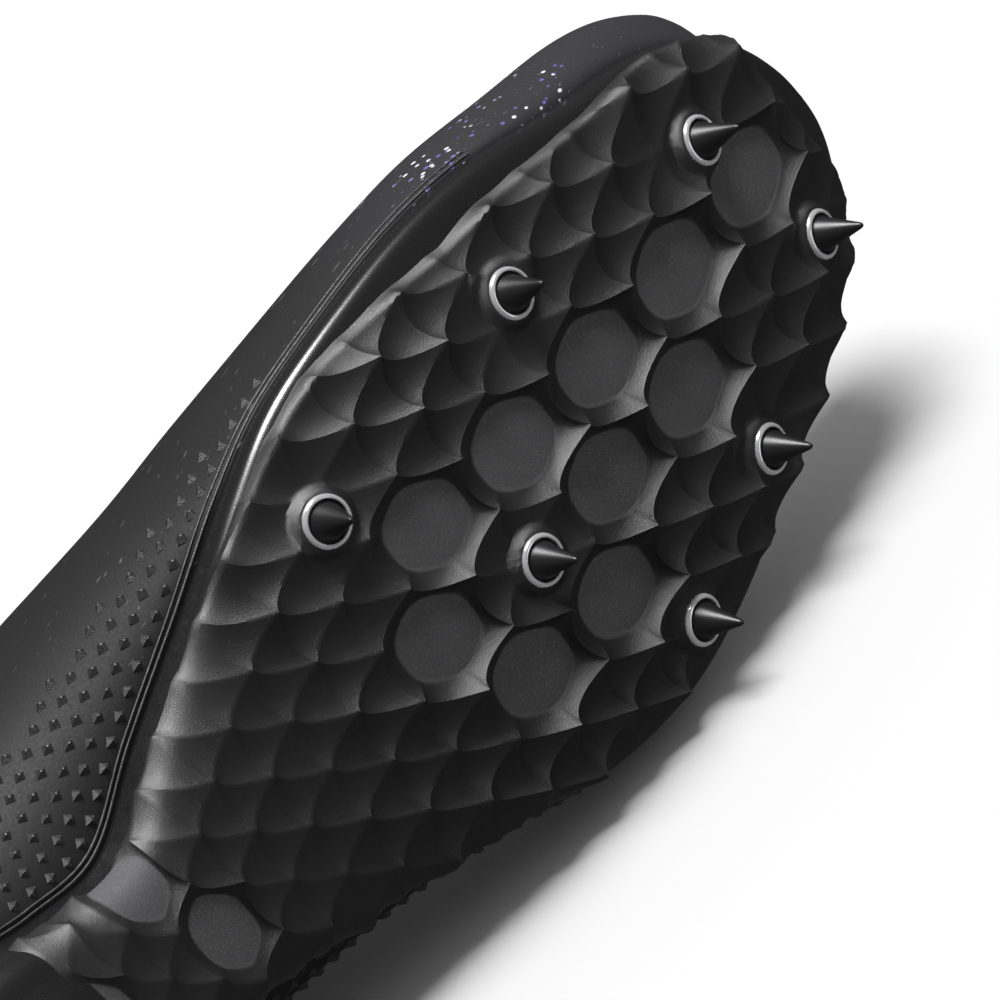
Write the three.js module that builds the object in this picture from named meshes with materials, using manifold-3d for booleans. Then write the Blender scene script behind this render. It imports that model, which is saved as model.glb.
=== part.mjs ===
// Track spike shoe, right foot, lying on its medial side with the sole's edge and the upper on the floor.
// The shoe is modelled upright: x runs from the heel to the toe, y to the medial side, z up. It is laid down last.
import * as THREE from 'three';
import { mergeVertices } from 'three/addons/utils/BufferGeometryUtils.js';
import { ConvexHull } from 'three/addons/math/ConvexHull.js';
import Module from 'manifold-3d';

const wasm = await Module();
wasm.setup();

// Driving sizes of the last, in millimetres
const LENGTH = 286;
const BALL_WIDTH = 93;
const INSTEP_HEIGHT = 90;
const HEEL_HEIGHT = 62;
const TOE_SPRING = 16;
const ARCH_RISE = 7;
const HEEL_BEVEL = 3;
const HEEL_LEAN = 12;
const TOE_SWELL = 3;
const TOE_SWELL_RISE = 8;
const SIDE_ROUNDNESS = 0.92;

// Upper, tongue and insole
const UPPER_WALL = 1.8;
const CLEARANCE = 0.3;
const TONGUE_CLEARANCE = 0.4;
const LACE_CLEARANCE = 0.45;
const LASTING_MARGIN = 4;
const EYESTAY_STEP = 0.8;
const EYESTAY_WIDTH = 15;
const THROAT_WIDTH = 25;
const EYELET_DIAMETER = 4;
const EYELET_PAIRS = 6;
const TONGUE_THICKNESS = 2.6;
const TONGUE_OVERLAP = 11;
const INSOLE_THICKNESS = 3;
const LACE_WIDTH = 5;
const LACE_THICKNESS = 1.2;

// Outsole plate
const EDGE_THICKNESS = 2.1;
const HEEL_THICKNESS = 15;
const CROWN_RADIUS = 230;
const EDGE_REACH = 0.58 * BALL_WIDTH;
const FOREFOOT_THICKNESS = EDGE_THICKNESS + EDGE_REACH ** 2 / (2 * CROWN_RADIUS);
const PEAK_HEIGHT = 4.8;
const WAIST_PEAK_HEIGHT = 2.2;
const LUG_ROOT = 1.4;
const PIT_FLOOR = 0.05;
const PIT_SHARE = 0.74;
const CREST_DIP = 0.62;
const SPOKE_DIP = 0.45;
const LATERAL_SMOOTH_BAND = 5;
const MEDIAL_SMOOTH_BAND = 2.5;
const TOOTH_COUNT = 9;
const FIRST_TOOTH = 0.565;
const LAST_TOOTH = 0.92;
const TOOTH_REACH = 5;
const TOOTH_DROP = 3;
const TOOTH_BASE = 9;
const TOOTH_ROOT = [3, 7, 0.3, 1.8];

// Spikes and their seats, heights measured out from the plate's surface
const SEAT_DIAMETER = 13;
const SEAT_HEIGHT = 2;
const SEAT_DEPTH = 1.6;
const RING_OUTER = 9.6;
const RING_INNER = 7.6;
const RING_HEIGHT = 2.2;
const SPIKE_LENGTH = 9;
const SPIKE_BASE = 5.6;
const SPIKE_TIP = 1.8;
const FLANGE_DIAMETER = 6.9;
const FLANGE_HEIGHT = 1;
const STEM_DIAMETER = 4.6;
const STEM_LENGTH = 3.6;
const STUD_SIDES = 12;

// How far the floor flattens what it touches
const REST_FLAT = 0.5;

// Higher than anything on the shoe
const SKY = 3 * INSTEP_HEIGHT;

// Where the ball, the heel's contact, the collar's front and the throat's front lie, as shares of the length
const BALL = 0.63;
const HEEL_CONTACT = 0.12;
const CROWN_CENTRE = -0.03;
const RELIEF_BACK = 0.28;
const THROAT_FRONT = 0.7;
const THROAT_BACK = 0.3;
const TONGUE_FRONT = 0.745;
const TONGUE_BACK = 0.3;
const FIRST_EYELET = 0.665;
const LAST_EYELET = 0.415;

// One row for each section of the last. x is a share of the length, widths and ridge are shares of the ball
// width, side and top are shares of the instep height above the footbed.
const SECTIONS = [
  { x: 0.000, latSole: 0.000, medSole: 0.000, latSide: 0.000, medSide: 0.000, side: 0.24, top: 0.78, ridge: 0.000 },
  { x: 0.007, latSole: -0.097, medSole: 0.097, latSide: -0.118, medSide: 0.118, side: 0.24, top: 0.83, ridge: 0.000 },
  { x: 0.028, latSole: -0.188, medSole: 0.188, latSide: -0.220, medSide: 0.220, side: 0.25, top: 0.88, ridge: 0.000 },
  { x: 0.070, latSole: -0.269, medSole: 0.269, latSide: -0.301, medSide: 0.301, side: 0.26, top: 0.94, ridge: 0.000 },
  { x: 0.140, latSole: -0.306, medSole: 0.301, latSide: -0.344, medSide: 0.339, side: 0.26, top: 0.98, ridge: 0.000 },
  { x: 0.217, latSole: -0.280, medSole: 0.263, latSide: -0.355, medSide: 0.339, side: 0.26, top: 1.00, ridge: 0.005 },
  { x: 0.280, latSole: -0.204, medSole: 0.199, latSide: -0.366, medSide: 0.339, side: 0.26, top: 0.99, ridge: 0.011 },
  { x: 0.332, latSole: -0.167, medSole: 0.188, latSide: -0.376, medSide: 0.349, side: 0.25, top: 0.95, ridge: 0.022 },
  { x: 0.392, latSole: -0.237, medSole: 0.258, latSide: -0.392, medSide: 0.371, side: 0.24, top: 0.87, ridge: 0.032 },
  { x: 0.455, latSole: -0.312, medSole: 0.328, latSide: -0.414, medSide: 0.403, side: 0.21, top: 0.77, ridge: 0.054 },
  { x: 0.521, latSole: -0.398, medSole: 0.419, latSide: -0.435, medSide: 0.457, side: 0.17, top: 0.67, ridge: 0.075 },
  { x: 0.580, latSole: -0.449, medSole: 0.505, latSide: -0.462, medSide: 0.522, side: 0.13, top: 0.58, ridge: 0.097 },
  { x: 0.654, latSole: -0.452, medSole: 0.554, latSide: -0.465, medSide: 0.565, side: 0.11, top: 0.49, ridge: 0.108 },
  { x: 0.724, latSole: -0.430, medSole: 0.546, latSide: -0.450, medSide: 0.557, side: 0.10, top: 0.43, ridge: 0.113 },
  { x: 0.790, latSole: -0.376, medSole: 0.511, latSide: -0.409, medSide: 0.522, side: 0.12, top: 0.39, ridge: 0.118 },
  { x: 0.857, latSole: -0.290, medSole: 0.468, latSide: -0.343, medSide: 0.478, side: 0.12, top: 0.35, ridge: 0.124 },
  { x: 0.916, latSole: -0.220, medSole: 0.414, latSide: -0.279, medSide: 0.425, side: 0.12, top: 0.31, ridge: 0.124 },
  { x: 0.958, latSole: -0.145, medSole: 0.360, latSide: -0.206, medSide: 0.372, side: 0.12, top: 0.28, ridge: 0.120 },
  { x: 0.986, latSole: -0.059, medSole: 0.285, latSide: -0.118, medSide: 0.300, side: 0.12, top: 0.25, ridge: 0.116 },
  { x: 0.998, latSole: 0.032, medSole: 0.215, latSide: -0.004, medSide: 0.236, side: 0.12, top: 0.22, ridge: 0.122 },
  { x: 1.000, latSole: 0.129, medSole: 0.129, latSide: 0.129, medSide: 0.129, side: 0.11, top: 0.19, ridge: 0.129 },
];

// The collar's line seen from the side: x is a share of the length, up a share of the heel height
const COLLAR = [
  { x: -0.05, up: 1.02 },
  { x: 0.03, up: 1.00 },
  { x: 0.10, up: 0.88 },
  { x: 0.18, up: 0.80 },
  { x: 0.26, up: 0.84 },
  { x: 0.33, up: 0.98 },
  { x: 0.375, up: 1.16 },
  { x: 0.40, up: 1.60 },
];

// The plate's honeycomb: rows step across the foot, letters step along it from the waist to the toe.
// o is an open pit, x holds a spike, s is a pointed scale.
const FIRST_COLUMN = -5;
const FIRST_ROW = -3;
const CELL_CHART = [
  'sssssssssssss',
  'sssssssssssss',
  'ssssxsxsxssss',
  'sssssooooosss',
  'sosssoxoosxss',
  'ososssoosxsss',
  'ssssssssxssss',
  'sssssssssssss',
];
const CELL_STEP = 0.0717;
const CELL_GROWTH = 0.0028;
const CELL_ORIGIN = 0.5857;
const CELL_SLANT = 0.58;
const ROW_STEP = 0.1452;
const ROW_DRIFT = 0.0484;
const ROW_ORIGIN = -0.1075;

// Spike seats: x is a share of the length, y of the ball width
const SPIKE_SEATS = [
  { x: 0.543, y: -0.265 },
  { x: 0.723, y: -0.227 },
  { x: 0.901, y: -0.049 },
  { x: 0.930, y: 0.280 },
  { x: 0.793, y: 0.397 },
  { x: 0.620, y: 0.101 },
  { x: 0.679, y: 0.458 },
];

// Sections that a lofted piece has between the heel and the toe
const LOFT_STEPS = 28;

// Finishes
const BLACK_PLATE = { color: 0x1c1c1f, roughness: 0.42, metalness: 0 };
const BLACK_UPPER = { color: 0x141416, roughness: 0.62, metalness: 0 };
const GREY_LINING = { color: 0x2b2b2e, roughness: 0.9, metalness: 0 };
const BLACK_LACE = { color: 0x18181a, roughness: 0.8, metalness: 0 };
const STEEL = { color: 0xb9bcc0, roughness: 0.2, metalness: 1 };
const BLACK_SPIKE = { color: 0x101012, roughness: 0.35, metalness: 0.4 };

// Smooth blend between 0 and 1
function ease(t) {
  const c = Math.min(1, Math.max(0, t));
  return c * c * (3 - 2 * c);
}

// Value of one column at a place between two rows, on a smooth curve through the rows
function blendRows(rows, key, place) {
  const last = rows.length - 1;
  const k = Math.min(last - 1, Math.max(0, Math.floor(place)));
  const t = place - k;
  const value = (i) => rows[Math.min(last, Math.max(0, i))][key];
  const [a, b, c, d] = [value(k - 1), value(k), value(k + 1), value(k + 2)];
  const startSlope = k === 0 ? c - b : (c - a) / 2;
  const endSlope = k === last - 1 ? c - b : (d - b) / 2;
  const cubic = (2 * t ** 3 - 3 * t ** 2 + 1) * b + (3 * t ** 2 - 2 * t ** 3) * c;
  return cubic + (t ** 3 - 2 * t ** 2 + t) * startSlope + (t ** 3 - t ** 2) * endSlope;
}

// Place between the rows where x reaches a share of the length
function rowPlace(rows, share) {
  let low = 0;
  let high = rows.length - 1;
  for (let step = 0; step < 30; step += 1) {
    const middle = (low + high) / 2;
    if (blendRows(rows, 'x', middle) < share) low = middle;
    else high = middle;
  }
  return (low + high) / 2;
}

// Height of the plate's underside along its middle: toe spring, arch and heel bevel
function undersideMiddle(x) {
  const ball = BALL * LENGTH;
  const heel = HEEL_CONTACT * LENGTH;
  if (x > ball) return TOE_SPRING * ((x - ball) / (LENGTH - ball)) ** 2;
  if (x > heel) return ARCH_RISE * Math.sin((Math.PI * (ball - x)) / (ball - heel)) ** 2;
  return HEEL_BEVEL * ((heel - x) / heel) ** 2;
}

// Underside of the plate without its relief, crowned across the foot
function underside(x, y) {
  return undersideMiddle(x) + (y - CROWN_CENTRE * BALL_WIDTH) ** 2 / (2 * CROWN_RADIUS);
}

// Direction out of the underside
function outward(x, y) {
  const step = 0.5;
  const slopeX = (underside(x + step, y) - underside(x - step, y)) / (2 * step);
  const slopeY = (underside(x, y + step) - underside(x, y - step)) / (2 * step);
  return new THREE.Vector3(slopeX, slopeY, -1).normalize();
}

// Top of the plate, flat across the foot
function footbed(x) {
  const thickness = HEEL_THICKNESS + (FOREFOOT_THICKNESS - HEEL_THICKNESS) * ease((x / LENGTH - 0.15) / 0.4);
  return undersideMiddle(x) + thickness;
}

// Closed mesh from a position array and an index, with coincident points joined and empty triangles left out
function closedGeometry(positions, index) {
  const loose = new THREE.BufferGeometry();
  loose.setAttribute('position', new THREE.Float32BufferAttribute(positions, 3));
  loose.setIndex(index);
  const joined = mergeVertices(loose, 1e-4);
  const source = joined.index.array;
  const kept = [];
  for (let k = 0; k < source.length; k += 3) {
    const [a, b, c] = [source[k], source[k + 1], source[k + 2]];
    if (a !== b && b !== c && c !== a) kept.push(a, b, c);
  }
  joined.setIndex(kept);
  return joined;
}

// Closed mesh through rings of equal length, whose first and last rings are folded shut
function loftGeometry(rings) {
  const count = rings[0].length;
  const positions = rings.flat().flatMap((p) => [p.x, p.y, p.z]);
  const index = [];
  for (let i = 0; i < rings.length - 1; i += 1) {
    for (let j = 0; j < count; j += 1) {
      const a = i * count + j;
      const b = i * count + ((j + 1) % count);
      index.push(a, b, b + count, a, b + count, a + count);
    }
  }
  return closedGeometry(positions, index);
}

// Solid for joining and cutting
function toSolid(geometry) {
  const bare = geometry.clone();
  bare.deleteAttribute('normal');
  bare.deleteAttribute('uv');
  const joined = mergeVertices(bare, 1e-4);
  const vertProperties = new Float32Array(joined.attributes.position.array);
  const triVerts = new Uint32Array(joined.index.array);
  return new wasm.Manifold(new wasm.Mesh({ numProp: 3, vertProperties, triVerts }));
}

// Geometry from a solid
function toGeometry(solid) {
  const mesh = solid.getMesh();
  const geometry = new THREE.BufferGeometry();
  geometry.setAttribute('position', new THREE.BufferAttribute(mesh.vertProperties, 3));
  geometry.setIndex(new THREE.BufferAttribute(mesh.triVerts, 1));
  return geometry;
}

// Upright prism over an outline in plan
function planPrism(outline, low, high) {
  const shape = new THREE.Shape(outline);
  const geometry = new THREE.ExtrudeGeometry(shape, { depth: high - low, bevelEnabled: false });
  geometry.translate(0, 0, low);
  return toSolid(geometry);
}

// Prism across the foot over an outline seen from the side, x along and y up
function sidePrism(outline) {
  const shape = new THREE.Shape(outline);
  const geometry = new THREE.ExtrudeGeometry(shape, { depth: 2 * BALL_WIDTH, bevelEnabled: false });
  geometry.rotateX(Math.PI / 2);
  geometry.translate(0, BALL_WIDTH, 0);
  return toSolid(geometry);
}

// Sizes of the last's section at a place between the rows
function sectionAt(place) {
  const x = blendRows(SECTIONS, 'x', place) * LENGTH;
  const across = (key) => blendRows(SECTIONS, key, place) * BALL_WIDTH;
  const up = (key) => blendRows(SECTIONS, key, place) * INSTEP_HEIGHT;
  const base = footbed(x) + CLEARANCE;
  return {
    x,
    base,
    latSole: across('latSole'),
    medSole: across('medSole'),
    latSide: across('latSide'),
    medSide: across('medSide'),
    side: base + up('side'),
    top: base + up('top'),
    ridge: across('ridge'),
  };
}

// How far along the foot a point of a section is moved: the heel's back leans in over its widest point, and the
// toe swells out over the plate
function alongShift(x, height) {
  const behind = 1 - ease(x / (0.25 * LENGTH));
  const over = (height - 0.4 * HEEL_HEIGHT) / HEEL_HEIGHT;
  const ahead = ease((x / LENGTH - 0.8) / 0.2);
  return HEEL_LEAN * behind * over * over + TOE_SWELL * ahead * ease(height / TOE_SWELL_RISE);
}

// One side of a section, from the sole's edge out to the widest point and up to the ridge
function sideOfSection(s, sole, side) {
  const lowSteps = 3;
  const highSteps = 6;
  const points = [];
  for (let k = 0; k <= lowSteps; k += 1) {
    const angle = (Math.PI / 2) * (k / lowSteps);
    points.push([sole + (side - sole) * Math.sin(angle), s.side - (s.side - s.base) * Math.cos(angle)]);
  }
  for (let k = 1; k <= highSteps; k += 1) {
    const angle = (Math.PI / 2) * (k / highSteps);
    const across = s.ridge + (side - s.ridge) * Math.cos(angle) ** SIDE_ROUNDNESS;
    points.push([across, s.side + (s.top - s.side) * Math.sin(angle)]);
  }
  return points;
}

// Outer form of the last, closed all round
function lastForm() {
  const rings = [];
  for (let k = 0; k <= LOFT_STEPS; k += 1) {
    const s = sectionAt(((SECTIONS.length - 1) * k) / LOFT_STEPS);
    const lateral = sideOfSection(s, s.latSole, s.latSide);
    const medial = sideOfSection(s, s.medSole, s.medSide).reverse().slice(1);
    const bottom = [[s.medSole * 0.5 + s.latSole * 0.5, s.base]];
    const ring = [...lateral, ...medial, ...bottom];
    rings.push(ring.map(([y, z]) => new THREE.Vector3(s.x + alongShift(s.x, z - s.base), y, z)));
  }
  const geometry = loftGeometry(rings.reverse());
  geometry.computeVertexNormals();
  return geometry;
}

const LAST = lastForm();

// The last's form grown or shrunk square to its surface
function grownLast(growth) {
  const grown = LAST.clone();
  const position = grown.attributes.position;
  const normal = grown.attributes.normal;
  for (let k = 0; k < position.count; k += 1) {
    position.setXYZ(
      k,
      position.getX(k) + growth * normal.getX(k),
      position.getY(k) + growth * normal.getY(k),
      position.getZ(k) + growth * normal.getZ(k),
    );
  }
  return toSolid(grown);
}

// Height of the last's upper side over a place in plan, raised square to the surface
function instepHeight(x, y, growth) {
  const heightOf = (along, across) => {
    const s = sectionAt(rowPlace(SECTIONS, along / LENGTH));
    const side = across < s.ridge ? s.latSide : s.medSide;
    const share = Math.min(1, Math.abs((across - s.ridge) / (side - s.ridge))) ** (1 / SIDE_ROUNDNESS);
    return s.side + (s.top - s.side) * Math.sqrt(1 - share * share);
  };
  const step = 0.5;
  const slopeX = (heightOf(x + step, y) - heightOf(x - step, y)) / (2 * step);
  const slopeY = (heightOf(x, y + step) - heightOf(x, y - step)) / (2 * step);
  return heightOf(x, y) + growth * Math.hypot(slopeX, slopeY, 1);
}

// Line of the ridge over the throat
function ridgeAt(x) {
  return sectionAt(rowPlace(SECTIONS, x / LENGTH)).ridge;
}

// Half the throat's width, narrowing to the front
function throatHalf(x) {
  const forward = (x / LENGTH - THROAT_BACK) / (THROAT_FRONT - THROAT_BACK);
  return (THROAT_WIDTH / 2) * (1.1 - 0.38 * forward);
}

// Plan outline that follows the throat at a distance, round at its front
function alongThroat(back, front, reach) {
  const steps = 8;
  const left = [];
  const right = [];
  const radius = throatHalf(front) + reach;
  for (let k = 0; k <= steps; k += 1) {
    const x = back + (front - radius - back) * (k / steps);
    left.push(new THREE.Vector2(x, ridgeAt(x) - throatHalf(x) - reach));
    right.push(new THREE.Vector2(x, ridgeAt(x) + throatHalf(x) + reach));
  }
  const arc = [];
  const centre = front - radius;
  for (let k = 1; k < steps; k += 1) {
    const angle = -Math.PI / 2 + (Math.PI * k) / steps;
    arc.push(new THREE.Vector2(centre + radius * Math.cos(angle), ridgeAt(centre) + radius * Math.sin(angle)));
  }
  return [...left, ...arc, ...right.reverse()];
}

// What lies above the collar's line
function aboveCollar() {
  const line = COLLAR.map(({ x, up }) => {
    const along = x * LENGTH;
    return new THREE.Vector2(along, footbed(Math.max(0, along)) + up * HEEL_HEIGHT);
  });
  const curve = new THREE.SplineCurve(line).getPoints(3 * (line.length - 1));
  const front = curve[curve.length - 1].x;
  const corners = [[front, SKY], [-LENGTH, SKY], [-LENGTH, line[0].y]].map(([x, z]) => new THREE.Vector2(x, z));
  return sidePrism([...curve, ...corners]);
}

// Opening under the foot, between the lasting margins
function solePrism(inset, low, high) {
  const lateral = [];
  const medial = [];
  const count = 2 * (SECTIONS.length - 1);
  for (let k = 1; k < count; k += 1) {
    const s = sectionAt(k / 2);
    if (s.medSole - s.latSole < 2.5 * inset || s.x < inset || s.x > LENGTH - inset) continue;
    lateral.push(new THREE.Vector2(s.x, s.latSole + inset));
    medial.push(new THREE.Vector2(s.x, s.medSole - inset));
  }
  return planPrism([...lateral, ...medial.reverse()], low, high);
}

// Places of the eyelets, one pair after another from the front
function eyeletPlaces() {
  const places = [];
  for (let k = 0; k < EYELET_PAIRS; k += 1) {
    const x = LENGTH * (FIRST_EYELET + (LAST_EYELET - FIRST_EYELET) * (k / (EYELET_PAIRS - 1)));
    const reach = throatHalf(x) + EYESTAY_WIDTH * 0.42;
    places.push({ lateral: [x, ridgeAt(x) - reach], medial: [x, ridgeAt(x) + reach] });
  }
  return places;
}

const EYELETS = eyeletPlaces();

// Hollow upper with a step for the eyestay
function makeUpper() {
  const collarFront = THROAT_BACK * LENGTH;
  const throatFront = THROAT_FRONT * LENGTH;
  const floorLevel = footbed(LENGTH * BALL) + 0.2 * INSTEP_HEIGHT;
  const eyestayArea = planPrism(alongThroat(collarFront, throatFront, EYESTAY_WIDTH), floorLevel, SKY);
  const eyestay = grownLast(EYESTAY_STEP).intersect(eyestayArea);
  const shell = grownLast(0).add(eyestay).subtract(grownLast(-UPPER_WALL));
  const throatLine = alongThroat(collarFront - EYESTAY_WIDTH, throatFront - EYESTAY_WIDTH * 0.2, 0);
  const throat = planPrism(throatLine, floorLevel, SKY);
  const underFoot = solePrism(LASTING_MARGIN, -LENGTH, floorLevel);
  let upper = shell.subtract(aboveCollar()).subtract(throat).subtract(underFoot);
  for (const pair of EYELETS) {
    for (const [x, y] of [pair.lateral, pair.medial]) {
      const hole = new THREE.CylinderGeometry(EYELET_DIAMETER / 2, EYELET_DIAMETER / 2, INSTEP_HEIGHT, 6);
      hole.rotateX(Math.PI / 2);
      hole.translate(x, y, instepHeight(x, y, 0) + INSTEP_HEIGHT * 0.35);
      upper = upper.subtract(toSolid(hole));
    }
  }
  return upper;
}

// Tongue, a shell of the last's own form just inside the upper
function makeTongue() {
  const outside = grownLast(-UPPER_WALL - TONGUE_CLEARANCE);
  const inside = grownLast(-UPPER_WALL - TONGUE_CLEARANCE - TONGUE_THICKNESS);
  const low = footbed(LENGTH * BALL) + 0.33 * INSTEP_HEIGHT;
  const area = planPrism(alongThroat(TONGUE_BACK * LENGTH, TONGUE_FRONT * LENGTH, TONGUE_OVERLAP), low, SKY);
  return outside.subtract(inside).intersect(area);
}

// Insole on the lasting margin
function makeInsole() {
  const lift = CLEARANCE + UPPER_WALL + CLEARANCE + INSOLE_THICKNESS;
  const steps = 24;
  const line = [];
  for (let k = 0; k <= steps; k += 1) {
    const x = LENGTH * (-0.05 + 1.1 * (k / steps));
    line.push(new THREE.Vector2(x, footbed(Math.min(LENGTH, Math.max(0, x))) + lift));
  }
  line.push(new THREE.Vector2(line[steps].x, SKY), new THREE.Vector2(line[0].x, SKY));
  return grownLast(-UPPER_WALL - CLEARANCE).subtract(sidePrism(line));
}

// Flat lace along a straight line in plan, laid over the eyestay and tongue
function laceBar(from, to) {
  const steps = 4;
  const seat = EYESTAY_STEP + LACE_CLEARANCE;
  const across = new THREE.Vector2(to[1] - from[1], from[0] - to[0]).normalize().multiplyScalar(LACE_WIDTH / 2);
  const rings = [];
  const corners = [[1, 0], [-1, 0], [-1, 1], [1, 1]];
  for (let k = 0; k <= steps; k += 1) {
    const x = from[0] + (to[0] - from[0]) * (k / steps);
    const y = from[1] + (to[1] - from[1]) * (k / steps);
    rings.push(corners.map(([way, level]) => {
      const px = x + way * across.x;
      const py = y + way * across.y;
      return new THREE.Vector3(px, py, instepHeight(px, py, seat + level * LACE_THICKNESS));
    }));
  }
  const middle = (ring) => ring.reduce((sum, p) => sum.add(p), new THREE.Vector3()).multiplyScalar(1 / ring.length);
  const fold = (ring) => ring.map(() => middle(ring));
  return toSolid(loftGeometry([fold(rings[0]), ...rings, fold(rings[steps])]));
}

// Laces crossed between the eyelets, with one bar over the front pair
function makeLaces() {
  let laces = laceBar(EYELETS[0].lateral, EYELETS[0].medial);
  for (let k = 0; k < EYELET_PAIRS - 1; k += 1) {
    laces = laces.add(laceBar(EYELETS[k].lateral, EYELETS[k + 1].medial));
    laces = laces.add(laceBar(EYELETS[k].medial, EYELETS[k + 1].lateral));
  }
  return laces;
}

// Body of the plate: crowned underside that curls up to the footbed at its edges
function plateBody() {
  const curlShares = [-1, -0.985, -0.93, -0.8, -0.45, 0, 0.45, 0.8, 0.93, 0.985, 1];
  const topShares = [0.5, 0, -0.5];
  const rings = [];
  for (let k = 0; k <= LOFT_STEPS; k += 1) {
    const s = sectionAt(((SECTIONS.length - 1) * k) / LOFT_STEPS);
    const middle = (s.latSole + s.medSole) / 2;
    const half = (s.medSole - s.latSole) / 2;
    const ring = curlShares.map((share) => {
      const y = middle + share * half;
      const curl = 1 - (1 - Math.abs(share) ** 6) ** (1 / 6);
      const low = underside(s.x, y);
      return new THREE.Vector3(s.x, y, low + (footbed(s.x) - low) * curl);
    });
    topShares.forEach((share) => ring.push(new THREE.Vector3(s.x, middle + share * half, footbed(s.x))));
    rings.push(ring);
  }
  return toSolid(loftGeometry(rings));
}

// Place in plan of a point of the honeycomb
function cellPlace(column, row) {
  const along = column - CELL_SLANT * row;
  return {
    x: LENGTH * (CELL_ORIGIN + CELL_STEP * along + CELL_GROWTH * along * along),
    y: BALL_WIDTH * (ROW_ORIGIN + ROW_DRIFT * column + ROW_STEP * row),
  };
}

// Height of the relief's peaks, lower behind the ball and gone before the heel
function peakHeight(x) {
  const share = x / LENGTH;
  const front = ease((share - 0.42) / 0.12);
  const fade = ease((share - 0.22) / 0.1);
  return fade * (WAIST_PEAK_HEIGHT + (PEAK_HEIGHT - WAIST_PEAK_HEIGHT) * front);
}

// Relief of the plate, a thin solid whose outer face has the pits and the pointed scales
function reliefSolid() {
  const corners = [[1, 2], [2, 1], [1, -1], [-1, -2], [-2, -1], [-1, 1]].map(([c, r]) => [c / 3, r / 3]);
  const points = [];
  const known = new Map();
  const triangles = [];
  const pointAt = (column, row, height) => {
    const key = `${Math.round(column * 600)},${Math.round(row * 600)}`;
    if (!known.has(key)) {
      known.set(key, points.length);
      points.push({ ...cellPlace(column, row), height });
    }
    return known.get(key);
  };
  CELL_CHART.forEach((line, rowIndex) => [...line].forEach((kind, columnIndex) => {
    const row = rowIndex + FIRST_ROW;
    const column = columnIndex + FIRST_COLUMN;
    const tip = kind === 's' ? 1 : 0;
    const centre = pointAt(column, row, tip);
    corners.forEach(([c, r], k) => {
      const [nextC, nextR] = corners[(k + 1) % 6];
      const here = pointAt(column + c, row + r, 1);
      const next = pointAt(column + nextC, row + nextR, 1);
      const between = pointAt(column + (c + nextC) / 2, row + (r + nextR) / 2, CREST_DIP);
      const inner = kind === 's' ? 0.5 : PIT_SHARE;
      const low = kind === 's' ? SPOKE_DIP : 0;
      const spoke = pointAt(column + c * inner, row + r * inner, low);
      const nextSpoke = pointAt(column + nextC * inner, row + nextR * inner, low);
      triangles.push([centre, spoke, nextSpoke], [spoke, here, between], [nextSpoke, between, next]);
      triangles.push([spoke, between, nextSpoke]);
    });
  }));
  const outer = points.map((p) => {
    const base = new THREE.Vector3(p.x, p.y, underside(p.x, p.y));
    return base.addScaledVector(outward(p.x, p.y), PIT_FLOOR + p.height * peakHeight(p.x));
  });
  const inner = points.map((p) => {
    const base = new THREE.Vector3(p.x, p.y, underside(p.x, p.y));
    return base.addScaledVector(outward(p.x, p.y), -LUG_ROOT);
  });
  const edges = new Map();
  triangles.forEach(([a, b, c]) => [[a, b], [b, c], [c, a]].forEach(([p, q]) => edges.set(`${p},${q}`, [p, q])));
  const count = points.length;
  const index = triangles.flatMap(([a, b, c]) => [a, b, c, a + count, c + count, b + count]);
  edges.forEach(([p, q]) => {
    if (!edges.has(`${q},${p}`)) index.push(q, p, p + count, q, p + count, q + count);
  });
  return toSolid(closedGeometry([...outer, ...inner].flatMap((p) => [p.x, p.y, p.z]), index));
}

// Plan area that the scales fill, leaving the rolled rim smooth
function reliefArea() {
  const lateral = [];
  const medial = [];
  for (let k = 0; k <= LOFT_STEPS; k += 1) {
    const s = sectionAt(((SECTIONS.length - 1) * k) / LOFT_STEPS);
    if (s.x < RELIEF_BACK * LENGTH) continue;
    const width = s.medSole - s.latSole;
    if (width < 3.4 * LATERAL_SMOOTH_BAND) continue;
    const band = Math.min(LATERAL_SMOOTH_BAND, 0.14 * width);
    lateral.push(new THREE.Vector2(s.x - MEDIAL_SMOOTH_BAND, s.latSole + band));
    medial.push(new THREE.Vector2(s.x - MEDIAL_SMOOTH_BAND, s.medSole - MEDIAL_SMOOTH_BAND));
  }
  return planPrism([...lateral, ...medial.reverse()], -LENGTH, LENGTH);
}

// Pointed teeth along the medial edge of the forefoot
function edgeTooth(share) {
  const s = sectionAt(rowPlace(SECTIONS, share));
  const ahead = sectionAt(rowPlace(SECTIONS, share + 0.02));
  const along = new THREE.Vector3(ahead.x - s.x, ahead.medSole - s.medSole, 0).normalize();
  const out = new THREE.Vector3(-along.y, along.x, 0);
  const edge = new THREE.Vector3(s.x, s.medSole, (underside(s.x, s.medSole) + footbed(s.x)) / 2);
  const place = (forward, sideways, rise) => edge.clone()
    .addScaledVector(along, forward).addScaledVector(out, sideways).add(new THREE.Vector3(0, 0, rise));
  const half = TOOTH_BASE / 2;
  const [near, deep, above, below] = TOOTH_ROOT;
  const root = [
    place(half, -near, above), place(-half, -near, above), place(-half, -deep, -below), place(half, -deep, -below),
  ];
  const tip = place(0, TOOTH_REACH, -TOOTH_DROP);
  const corners = [...root, tip].flatMap((p) => [p.x, p.y, p.z]);
  return toSolid(closedGeometry(corners, [0, 1, 2, 0, 2, 3, 1, 0, 4, 2, 1, 4, 3, 2, 4, 0, 3, 4]));
}

// Turns a piece made about the y axis to stand on the plate at a spike's seat
function placeOnSeat(geometry, seat) {
  const x = seat.x * LENGTH;
  const y = seat.y * BALL_WIDTH;
  const turn = new THREE.Quaternion().setFromUnitVectors(new THREE.Vector3(0, 1, 0), outward(x, y));
  geometry.applyQuaternion(turn);
  geometry.translate(x, y, underside(x, y));
  return geometry;
}

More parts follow.
